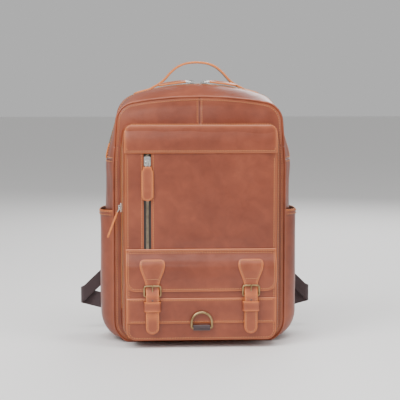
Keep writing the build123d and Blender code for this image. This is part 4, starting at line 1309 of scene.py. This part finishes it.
def make_ring_tab():
    """Dark webbing folded over the D-ring's straight bar."""
    y, z, r = -102.2, 31.0, 3.1
    path = [(-98.4, z + 3.0)] + [(y - r * math.sin(a), z + r * math.cos(a))
                                 for a in np.linspace(0, math.pi, 11)]
    path += [(-98.4, z - 3.0)]
    path = round_path(path, [2] * (len(path) - 2), 0.9)
    origins, normals = upright_line(path)
    along = tangents(path)
    normals = np.stack([np.zeros(len(path)), along[:, 1], -along[:, 0]], axis=1)
    if normals[len(path) // 2][1] > 0:
        normals = -normals
    piece, _ = strip_piece("ring_loop", origins, (1, 0, 0), normals, 12.5, 1.3, [WEBBING], "bag", "webbing",
                           across=9, rim=0.4)
    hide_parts("ring_tab")


make_flap_pocket()
make_flap()
for side in (-1, 1):
    make_closure(side)
    make_buckle_strap(side)
    make_keeper(side)
make_ring_tab()


# ---------------------------------------------------------------- side pockets
POCKET_TOP, POCKET_COLUMNS = 201.5, 84


def make_side_pocket(side):
    """A soft pocket on the bag's side, sewn into the seams, standing off a little in its middle."""
    word = word_of(side)
    stations = (-45.5, -43.5, -40.0, -35.0, -29.0, -22.0, -14.0, -5.0, 5.0, 14.0, 22.0, 29.0, 35.0, 40.0,
                43.5, 45.5)
    known = ((-45.5, 129.3), (-40.0, 137.5), (-31.0, 145.3), (-22.0, 148.4), (0.0, 149.0), (22.0, 148.4),
             (33.0, 146.0), (41.0, 140.5), (45.5, 136.3))
    rows, wears, shades = [], [], []
    for y in stations:
        half = float(np.interp(y, [k[0] for k in known], [k[1] for k in known]))
        low = 36 + 16 * (1 - abs(y) / DEEP)
        path = round_path([(60, 0.0), (half, 0.0), (half, POCKET_TOP)], [low], 1.0)
        path = path[np.argmax(path[:, 1] > 6.0):]
        path = resample_count(path, POCKET_COLUMNS)
        for k, (x, z) in enumerate(path):
            fade = math.cos(math.pi / 2 * min(abs(y) / DEEP, 1)) ** 0.6
            sag = 0.9 * soft_noise(y * 3.2, side * 20.0, z, 58.0, 15.0)
            sag += 0.4 * soft_noise(y * 7, side * 9.0, z, 33.0, 2.0)
            slack = 1.4 * step_up(z, 165, 201) * math.cos(math.pi * y / 60)
            hem = 0.55 * step_up(z, 191.6, 192.6)
            belly = 1.1 * math.sin(math.pi * min(z / 190.0, 1.0))
            push = fade * (sag - 0.5 + slack + belly * 0.6) + hem
            rows.append((side * (x + 1.5 + push), y, z - 0.8 * fade * (z > 195) * (1 - abs(y) / 46)))
            wears.append(0.55 * math.exp(-(POCKET_TOP - z) / 1.6) + 0.25 * math.exp(-(DEEP - abs(y)) / 1.6))
            shades.append(0.35 * math.exp(-((z - 191.4) / 1.0) ** 2))
    faces = grid_faces(len(stations), POCKET_COLUMNS)
    if side > 0:
        faces = [face[::-1] for face in faces]
    piece = make_mesh(f"side_pocket_leather_{word}", rows, faces, [LEATHER, EDGE, SUEDE],
                      attributes={"wear": wears, "shade": shades})
    clean_up(piece)
    thicken(piece, 1.6, inside=2, rim=1)
    smooth_more(piece)
    settle(piece, nodes=[f"side_pocket_{word}"])
    grid = np.array(rows).reshape(len(stations), POCKET_COLUMNS, 3)
    columns = grid[0, :, 2]
    for z in (194.0, 198.4):
        k = int(np.argmin(np.abs(columns - z)))
        line = grid[1:-1, k]
        stitch("bag", line + (side * 0.2, 0, 0), (side, 0, 0))


# ---------------------------------------------------------------- plates of leather
def plate(name, outline, y, thick, nodes=(), inset=3.0, radius=4.0):
    """A flat shape of leather on the bag's back, with rounded corners and stitches inside its edge."""
    corners_xz = [np.array(p, float) for p in outline]
    middle = (corners_xz[0] + corners_xz[-1]) / 2
    ring = round_path([middle] + corners_xz + [middle], [radius] * len(outline), 1.5)[:-1]
    area = 0.5 * np.sum(ring[:, 0] * np.roll(ring[:, 1], -1) - np.roll(ring[:, 0], -1) * ring[:, 1])
    if area < 0:
        ring = ring[::-1]
    along = np.roll(ring, -1, axis=0) - np.roll(ring, 1, axis=0)
    along /= np.maximum(np.linalg.norm(along, axis=1, keepdims=True), 1e-9)
    inward = np.stack([-along[:, 1], along[:, 0]], axis=1)
    rings = [(0.0, y), (0.0, y + thick - 0.45), (0.45, y + thick), (2.0, y + thick + 0.1),
             (4.0, y + thick + 0.15)]
    verts, wears = [], []
    for inset_by, at_y in rings:
        for p in ring + inward * inset_by:
            verts.append((p[0], at_y, p[1]))
            wears.append(0.5 * math.exp(-inset_by / 1.6))
    n = len(ring)
    faces = grid_faces(len(rings), n, wrap=True)
    faces += [tuple(range(n)), tuple(range((len(rings) - 1) * n, len(rings) * n))]
    kinds = [1] * (2 * n) + [0] * (2 * n) + [0, 0]
    piece = make_mesh(name, verts, faces, [LEATHER_TRIM, EDGE], kinds, {"wear": wears})
    clean_up(piece, outward=True)
    settle(piece, nodes=nodes)
    inner = ring + inward * inset
    line = inner[edge_distance(inner, ring) > 0.93 * inset]
    line = np.concatenate([line, line[:1]])
    seam_stitch("bag", [(p[0], y + thick + 0.12, p[1]) for p in line], (0, 1, 0), gap=14)


# ---------------------------------------------------------------- back
BACK_FRAME = 17.0  # width of the frame round the back's cushions
BACK_SEAMS = (118.0, 232.0)  # heights of the channels across it


def channel_gap(x, z, gap):
    """Distance to the nearest stitched channel of the back."""
    if gap <= BACK_FRAME:
        return abs(gap - BACK_FRAME)
    return min(gap - BACK_FRAME, abs(x), *(abs(z - seam) for seam in BACK_SEAMS))


def back_height(x, z, gap):
    """How far the padded back stands out, with stitched channels between its cushions."""
    near = channel_gap(x, z, gap)
    cushion = 4.2 * (1 - math.exp(-near / 7.0)) if gap > BACK_FRAME else 1.2 * (1 - math.exp(-near / 4.0))
    rim = 1 - math.exp(-max(gap, 0) / 2.0)
    return 0.2 + rim * (0.9 + cushion + 0.4 * soft_noise(x, 0, z, 38.0, 30.0))


def make_back():
    """The quilted back with its stitched channels."""
    loop = full_loop("back")
    xs = np.unique(np.concatenate([spread(-135.6, 135.6, 105, 0.5), [-1.2, -0.5, 0.5, 1.2]]))
    ts = spread(0, 1, 121, 0.3)
    verts, wears, shades = [], [], []
    for t in ts:
        row = np.array([(x, (1 - t) * z_span(loop, x)[0] + t * z_span(loop, x)[1]) for x in xs])
        for (x, z), gap in zip(row, edge_distance(row, loop)):
            near = channel_gap(x, z, gap)
            verts.append((x, 46.0 + back_height(x, z, gap), max(z, 0.2)))
            wears.append(0.28 * math.exp(-gap / 3.0))
            shades.append(0.6 * math.exp(-(near / 1.1) ** 2))
    faces = [face[::-1] for face in grid_faces(len(ts), len(xs))]
    back = make_mesh("back_leather", verts, faces, [LEATHER, SUEDE],
                     attributes={"wear": wears, "shade": shades})
    clean_up(back)
    thicken(back, 1.4)
    settle(back)
    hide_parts("back_panel")
    inset = HALVES["back"] - right_of(HALVES["back"]) * BACK_FRAME
    for sign in (-1, 1):
        stitch("bag", [(sign * p[0], 46.35 + 0.9, p[1]) for p in inset], (0, 1, 0))
    top = float(inset[-1][1])
    stitch("bag", [(0, 47.2, z) for z in np.linspace(19, top, 20)], (0, 1, 0))
    for z in BACK_SEAMS:
        stitch("bag", [(x, 47.2, z) for x in np.linspace(-118, 118, 20)], (0, 1, 0))


def quilted(name, half, low, high, y, thick, radius, node, channels, slot):
    """An upright padded panel inside the bag, with a bound edge and stitched channels."""
    zs = eased(low, high, 4.0, radius, radius)
    origins, normals = upright_line([(y, z) for z in zs])
    halves = rounded_half(zs, low, high, half, radius, radius)
    edges = np.concatenate([[-half + r for r in (0.4, 2, 4, 8)], [half - r for r in (0.4, 2, 4, 8)]])
    columns = np.unique(np.concatenate([np.linspace(-half + 12, half - 12, 49), edges]))

    def puffed(v, k):
        near = min([abs(v - c) for c in channels] + [abs(half - abs(v)), zs[k] - low, high - zs[k]])
        return -0.9 * math.exp(-max(near, 0) / 4.0)

    piece, _ = strip_piece(name, origins, (1, 0, 0), normals, halves, thick,
                           [LINING, LEATHER_TRIM, MESH_LINING],
                               "bag", slot, columns=columns, relief=puffed, rim=2.2)
    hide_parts(node)
    for c in channels:
        stitch("bag", [(c, y - thick / 2 + 0.9, z) for z in np.linspace(low + 8, high - 8, 12)], (0, -1, 0))


# ---------------------------------------------------------------- carry handle
def skin_top_z(x, y):
    """Height of the leather's outer face on the arched top."""
    points, _ = skin_row(y, 1 if x >= 0 else -1)
    upper = points[OUTLINE_POINTS * 2 // 3:]
    order = np.argsort(np.abs(upper[:, 0]))
    return float(np.interp(abs(x), np.abs(upper[order, 0]), upper[order, 2]))


def make_handle():
    """The carry handle, with its feet sewn flat on the arch."""
    thick, y = 2.9, 33.0
    foot = [(x, skin_top_z(x, y) + 1.6) for x in (98, 92, 86, 80, 74)]
    side_line = foot + [(67, 386.9), (60, 390.4), (51, 397.0), (41, 408.6), (30, 418.4), (16, 423.9)]
    line = [(-x, z) for x, z in side_line] + [(0, 425.2)] + side_line[::-1]
    radii = [20] * 3 + [30, 34, 34, 60, 60, 40, 50, 60] + [60, 50, 40, 60, 60, 34, 34, 30] + [20] * 3
    path = round_path(line, radii[:len(line) - 2], 1.9)
    along = tangents(path)
    origins = np.stack([path[:, 0], np.full(len(path), y), path[:, 1]], axis=1)
    slopes = []
    for x, z in path:
        flat = step_up(abs(x), 64, 76)
        slopes.append(flat * (skin_top_z(x, 43) - skin_top_z(x, 23)) / 20.0 if abs(x) > 64 else 0.0)
    sides = np.stack([np.zeros(len(path)), np.ones(len(path)), np.array(slopes)], axis=1)
    sides /= np.linalg.norm(sides, axis=1, keepdims=True)
    normals = np.cross(sides, np.stack([along[:, 0], np.zeros(len(path)), along[:, 1]], axis=1))
    normals *= np.sign(normals[:, 2:3])
    run = run_of(path)
    halves = []
    for s, (x, _) in zip(run, path):
        end = min(s, run[-1] - s)
        width = 11.0 - 1.4 * math.exp(-((abs(x) - 58.0) / 13.0) ** 2)
        tip = 8.5
        if end < tip:
            width *= 0.28 + 0.72 * math.sqrt(max(1 - ((tip - end) / tip) ** 2, 0))
        halves.append(width)

    def bow(v, k):
        return 0.5 * (1 - (v / halves[k]) ** 2) * step_up(60 - abs(path[k][0]), 0, 20)

    piece, strip = strip_piece("handle_leather", origins, sides, normals, np.array(halves), thick,
                               [LEATHER_TRIM, EDGE, SUEDE], across=11, wear=0.8, wear_width=2.0, shape=bow)
    blend_handle(piece)
    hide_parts("carry_handle", "handle_feet")
    rim_stitch("handle", strip, 2.6, pitch=3.1, length=2.3)
    for sign in (-1, 1):
        for x in (71.5, 75.5):
            right = path[path[:, 0] > 0]
            z = float(np.interp(x, right[:, 0], right[:, 1])) + thick / 2
            stitch("handle", [(sign * x, y - 8, z + 0.8), (sign * x, y + 8, z - 0.8)], (0, 0, 1), pitch=3.1,
                   length=2.3)


def blend_handle(piece):
    """Bakes the handle's transform into its mesh."""
    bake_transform(piece)


# ---------------------------------------------------------------- zip pulls
def make_pull(name, node, body, pin, along, side, length, half, facing, bend=0.0):
    """A leather tab on a small metal link. along runs from the pin to the tip, and bend makes it droop."""
    start, out, thick = 8.0, 0.75, 2.4
    pin, along, side = (np.array(v, float) for v in (pin, along, side))
    normal = unit(np.cross(side, along))
    if np.dot(normal, facing) < 0:
        normal = -normal
    marks = np.concatenate([[0, 0.8, 2.2, 4.5], np.arange(7.0, length - half, 2.2),
                            length - half * np.cos(np.linspace(0, math.pi / 2, 9))])
    marks = np.unique(np.round(marks, 3))
    origins = np.array([pin + along * (start + s) + normal * (out - bend * s * s) for s in marks])
    halves = []
    for s in marks:
        width = half * (0.70 + 0.30 * step_up(s, 3.0, 7.5))
        tail = length - s
        if tail < half:
            width = half * math.sqrt(max(1 - ((half - tail) / half) ** 2, 0.004))
        halves.append(width)
    lines = tangents(origins)
    normals = np.cross(lines, np.tile(side, (len(marks), 1)))
    normals *= np.sign(normals @ normal)[:, None]
    piece, strip = strip_piece(name, origins, side, normals, np.array(halves), thick, [LEATHER_TRIM, EDGE],
                               body, across=9, wear=0.95, wear_width=1.5)
    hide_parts(node)
    rim_stitch(body, strip, 2.0, pitch=2.6, length=1.9, radius=0.34, where=lambda v, s: s > 6.5)
    first, last = pin - along * 0.2, pin + along * (start + 2.2)
    reach = np.linalg.norm(last - first)
    ring = [np.array(p, float) for p in ((0, 0), (2.6, 0), (2.6, reach), (-2.6, reach), (-2.6, 0), (0, 0))]
    ring = round_path(ring, [1.2] * 4, 0.6)
    path = np.array([first + side * p[0] + along * p[1] + normal * out * (p[1] / reach) for p in ring])
    link = tube(f"{name}_link", path, 0.85, NICKEL, sides=8, closed=True)
    settle(link, body=body)


def make_pulls():
    """The four leather pulls."""
    make_pull("pocket_pull_tab", "pocket_pull", "pocket_tab", (POCKET_ZIP_X, -91.55, 278.0), (0, 0, -1),
              (1, 0, 0), 50.8, 8.5, facing=(0, -1, 0))
    lean = math.radians(21)
    make_pull("organizer_pull_tab", "organizer_pull", "organizer_tab", (-120.55, -67.0, 208.0),
              (-math.sin(lean), 0, -math.cos(lean)), (0, 1, 0), 40.8, 6.0, facing=(-1, 0, 0))
    for side in (-1, 1):
        word = word_of(side)
        make_pull(f"main_pull_tab_{word}", f"main_pull_{word}", f"main_pull_{word[0]}",
                  (side * 10.08, 0, 395.39),
                  unit(np.array((side, 0, -0.085))), (0, 0.978, 0.208), 43.0, 6.6, facing=(0, 0, 1),
                  bend=0.0011)


# ---------------------------------------------------------------- main zip
def make_main_zip():
    """The main zip over the arch and down both sides, and the stitches beside it."""
    middle = HALVES["middle"]
    climb = middle[middle[:, 1] > SEAM_Z + 6.0]
    lift = tangents(middle)[middle[:, 1] > SEAM_Z + 6.0]
    path = np.concatenate([climb, (climb * (-1, 1))[::-1][1:]])
    out = np.stack([lift[:, 1], -lift[:, 0]], axis=1)
    out = np.concatenate([out, (out * (-1, 1))[::-1][1:]])
    path3 = np.stack([path[:, 0], np.zeros(len(path)), path[:, 1]], axis=1)
    out3 = np.stack([out[:, 0], np.zeros(len(out)), out[:, 1]], axis=1)
    both = resample(np.concatenate([path3, out3], axis=1), TOOTH_PITCH)
    for word, sign in (("rear", 1), ("front", -1)):
        chain = zip_chain(f"main_zip_{word}", None, both[:, :3], both[:, 3:], signs=(sign,), sink=0.4)
        if sign > 0:
            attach(chain, "bag")
        else:
            blend_mouth(chain)
        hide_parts(f"main_chain_{word}")
    for y, group in ((10.6, "bag"), (-10.6, "mouth")):
        for sign in (-1, 1):
            points, normals = skin_row(y, sign)
            keep = points[:, 2] > SEAM_Z + 5
            stitch(group, points[keep], normals[keep])


for side in (-1, 1):
    make_side_pocket(side)
make_back()
quilted("divider_padding", 116.0, 5.0, 307.0, 21.0, 5.6, 14.0, "laptop_divider",
        (-78.0, -39.0, 0.0, 39.0, 78.0), "lining")
quilted("back_padding_cover", 110.0, 11.0, 341.0, 42.2, 5.6, 16.0, "back_padding", (-55.0, 0.0, 55.0),
        "strap_padding")
make_handle()
make_pulls()
make_main_zip()


# ---------------------------------------------------------------- shoulder straps
STRAP_TOP, STRAP_END = np.array((42.0, 350.0)), np.array((100.0, 124.0))
STRAP_LENGTH = float(np.linalg.norm(STRAP_END - STRAP_TOP))
PAD_END = 221.3  # the pad's tip, from the top of its strap


def strap_point(side, s, y):
    """The point at distance s down a shoulder strap's middle line, at depth y."""
    p = STRAP_TOP + (STRAP_END - STRAP_TOP) * (s / STRAP_LENGTH)
    return np.array((side * p[0], y, p[1]))


def blend_strap(piece):
    """Bakes a shoulder strap's transform into its mesh."""
    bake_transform(piece)


def make_shoulder_strap(side):
    """A padded strap, and the leather tab at its lower end."""
    word = word_of(side)
    body = f"shoulder_strap_{word_of(side)[0]}"
    along = strap_point(side, 1, 0) - strap_point(side, 0, 0)
    across = unit(np.cross(along, (0, 1, 0)))
    tip = PAD_END - 20 + 20 * np.sin(np.linspace(0, math.pi / 2, 9))
    marks = np.unique(np.concatenate([np.arange(-4.0, 212, 3.0), tip]))
    depth = np.interp(marks, (-4, 4, 14, 30, 60, 130, 190, PAD_END),
                      (51.4, 53.4, 57.0, 60.8, 65.8, 70.8, 69.2, 66.0))
    origins = np.array([strap_point(side, s, y) for s, y in zip(marks, depth)])
    halves = np.interp(marks, (-4, 10, 40, 150, 200, PAD_END), (23.0, 25.0, 28.0, 28.0, 25.0, 21.0))
    end = PAD_END - marks
    curve = end < 13
    halves[curve] -= 13 - np.sqrt(np.maximum(169 - (13 - end[curve]) ** 2, 0))
    lines = tangents(origins)
    sides = np.tile(across, (len(marks), 1))
    normals = np.cross(lines, sides)
    normals *= np.sign(normals[:, 1:2])
    thick_at = np.interp(marks, (-4, 10, 34, 60, 200, PAD_END), (3.4, 4.0, 7.0, 8.6, 8.2, 6.2))

    def cushion(v, k):
        gap = max(halves[k] - abs(v), 0)
        waves = 0.25 * soft_noise(v, marks[k], 3.0, 30.0, 12.0)
        return (thick_at[k] - 4.0) * (0.5 - math.exp(-gap / 5.0)) * 0.5 + waves + (thick_at[k] - 4.0) * 0.35

    columns = [-28, -27.2, -26, -24, -21, -17, -11, -5.5, 0, 5.5, 11, 17, 21, 24, 26, 27.2, 28]
    piece, strip = strip_piece(f"shoulder_pad_leather_{word}", origins, sides, normals, halves, 4.0,
                               [LEATHER, EDGE, MESH_LINING], None, "strap_padding", columns=columns,
                               flex=20.0, relief=cushion, rim=1.2, wear=0.45)
    blend_strap(piece)
    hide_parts(f"shoulder_pad_{word}", "strap_necks")
    first = marks[0]
    rim_stitch(f"shoulder_{word}", strip, 4.2, where=lambda v, s: s > 3,
               height=lambda v, s: cushion(v, int(np.argmin(np.abs(marks - first - s)))))
    # a short leather tab joins the pad to the ladder lock's first bar
    marks = np.array((196, 200, 206, 212, 218, 222, 225.5, 227.6))
    depth = (71.7, 71.3, 70.8, 70.0, 68.9, 67.8, 67.9, 66.2)
    origins = np.array([strap_point(side, s, y) for s, y in zip(marks, depth)])
    lines = tangents(origins)
    normals = np.cross(lines, sides[:len(marks)])
    normals *= np.sign(normals[:, 1:2])
    piece, strip = strip_piece(f"lock_tab_{word}", origins, sides[:len(marks)], normals, 12.5, 1.8,
                               [LEATHER_TRIM, EDGE], body, across=7, wear=0.7)
    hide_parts(f"shoulder_pad_{word}")
    rim_stitch(body, strip, 2.6, where=lambda v, s: s < 20)


def make_webbing(side):
    """The adjusting webbing: down and out from the ladder lock, folded, and back to the lower corner."""
    word = word_of(side)
    body = f"shoulder_strap_{word_of(side)[0]}"
    top = [(104.0, 64.8, 129.3), (108.0, 63.0, 125.5), (143.0, 61.6, 92.0), (172.0, 62.0, 64.5),
           (178.0, 62.2, 58.0)]
    arc = [(179.0 + 4.4 * math.sin(a), 66.8 - 4.6 * math.cos(a), 58.0 - 1.6 * a)
           for a in np.linspace(0.15, math.pi - 0.15, 9)]
    back = [(176.0, 71.2, 52.5), (160.0, 67.0, 49.0), (138.0, 59.4, 44.6), (122.0, 53.6, 41.6),
            (110.0, 50.4, 39.6)]
    path = np.array(top + arc + back)
    smooth = resample(path, 2.0)
    for _ in range(3):
        smooth[1:-1] = (smooth[:-2] + 2 * smooth[1:-1] + smooth[2:]) / 4
    smooth[:, 0] *= side
    lines = tangents(smooth)
    sides = np.tile((0.0, 0.0, 1.0), (len(smooth), 1))
    flat = np.stack([lines[:, 1], -lines[:, 0], np.zeros(len(smooth))], axis=1)
    normals = flat / np.linalg.norm(flat, axis=1, keepdims=True)
    fold = int(np.argmax(np.abs(smooth[:, 0])))
    for name, first, last in (("webbing_run", 0, fold + 1), ("webbing_return", fold, len(smooth))):
        piece, _ = strip_piece(f"{name}_{word}", smooth[first:last], sides[first:last], normals[first:last],
                               12.6, 1.6, [WEBBING], None, "webbing", across=9, rim=0.5,
                               relief=lambda v, k: 0.12 * math.cos(v * 1.5))
        if first:
            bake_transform(piece)
        else:
            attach(piece, body)
            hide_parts(f"webbing_{word}")


def make_strap_ends():
    """The yoke over the straps' upper ends, and the anchors of their webbing at the bag's lower corners."""
    yoke = [(-78, 352.5), (78, 352.5), (76, 372), (40, 373.5), (-40, 373.5), (-76, 372)]
    plate("yoke_leather", yoke, 47.3, 6.2, ["strap_yoke"], inset=3.4, radius=6)
    anchor = [(100, 16), (122, 18), (131, 32), (131, 60), (112, 50)]
    cover = [(103, 25), (118, 23), (120, 56), (106, 54)]
    for side in (-1, 1):
        word = word_of(side)
        plate(f"anchor_leather_{word}", [(side * x, z) for x, z in anchor], 47.3, 5.4, ["strap_anchors"])
        plate(f"anchor_cover_{word}", [(side * x, z) for x, z in cover], 52.4, 1.8, inset=2.6, radius=3)


def make_side_seams():
    """The lap under the seam across each side, and its two rows of stitches."""
    for side in (-1, 1):
        ys = np.linspace(-44.5, 44.5, 30)
        rows = [skin_row(y, side) for y in ys]
        under = np.array([points[SPLIT] - 1.25 * normals[SPLIT] for points, normals in rows])
        out = np.array([normals[SPLIT] for _, normals in rows])
        word = word_of(side)
        strip_piece(f"side_seam_{word}", under, (0, 0, 1), out, 4.0, 1.0, [LEATHER_TRIM, EDGE], "bag",
                    across=5, wear=0.1)
        for z in (SEAM_Z - 3.0, SEAM_Z + 3.2):
            line, out = [], []
            for y in np.linspace(-43.0, 43.0, 30):
                points, normals = skin_row(y, side)
                near = slice(SPLIT - 8, SPLIT + 9)
                x = np.interp(z, points[near, 2], points[near, 0])
                line.append((x, y, z))
                out.append(normals[SPLIT])
            stitch("bag", line, out)


def make_zip_ends():
    """Small leather patches where the main zip ends on the bag's sides."""
    for side in (-1, 1):
        points, normals = skin_row(0.0, side)
        rows = (points[:, 2] > 275.0) & (points[:, 2] < 302.0)
        origins, out = points[rows], normals[rows]
        word = word_of(side)
        z = origins[:, 2]
        halves = rounded_half(z, z[0], z[-1], 9.5, 4.0, 4.0)
        _, strip = strip_piece(f"zip_end_{word}", origins + out * 0.6, (0, 1, 0), out, halves, 1.5,
                                   [LEATHER_TRIM, EDGE], "bag", across=7, wear=0.7)
        rim_stitch("bag", strip, 2.2, **FINE)


def dress_cad():
    """Materials for the CAD pieces that stay: hardware, sliders and the base board."""
    kept = {"buckle_left": OLD_BRASS, "buckle_right": OLD_BRASS, "prong_left": OLD_BRASS,
            "prong_right": OLD_BRASS,
            "d_ring": OLD_BRASS, "snap_studs": OLD_BRASS, "snap_socket_left": OLD_BRASS,
            "snap_socket_right": OLD_BRASS, "ladder_lock_left": OLD_BRASS, "ladder_lock_right": OLD_BRASS,
            "main_slider_left": NICKEL, "main_slider_right": NICKEL, "organizer_slider": NICKEL,
            "pocket_slider": NICKEL, "base_board": BOARD_AND_HOLE_SHADE}
    for node, material in kept.items():
        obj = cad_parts[node]
        obj.data.materials.clear()
        obj.data.materials.append(material)


for side in (-1, 1):
    make_shoulder_strap(side)
    make_webbing(side)
make_strap_ends()
make_side_seams()
make_zip_ends()
dress_cad()


# ---------------------------------------------------------------- stitches and the end
for group, piece in make_stitches().items():
    if group == "mouth":
        blend_mouth(piece)
    elif group == "flap":
        flap_blend(piece)
    elif group == "handle":
        blend_handle(piece)
    elif group in ("strap_left", "strap_right"):
        closure_blend(piece)
    elif group in ("shoulder_left", "shoulder_right"):
        blend_strap(piece)
    else:
        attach(piece, group)
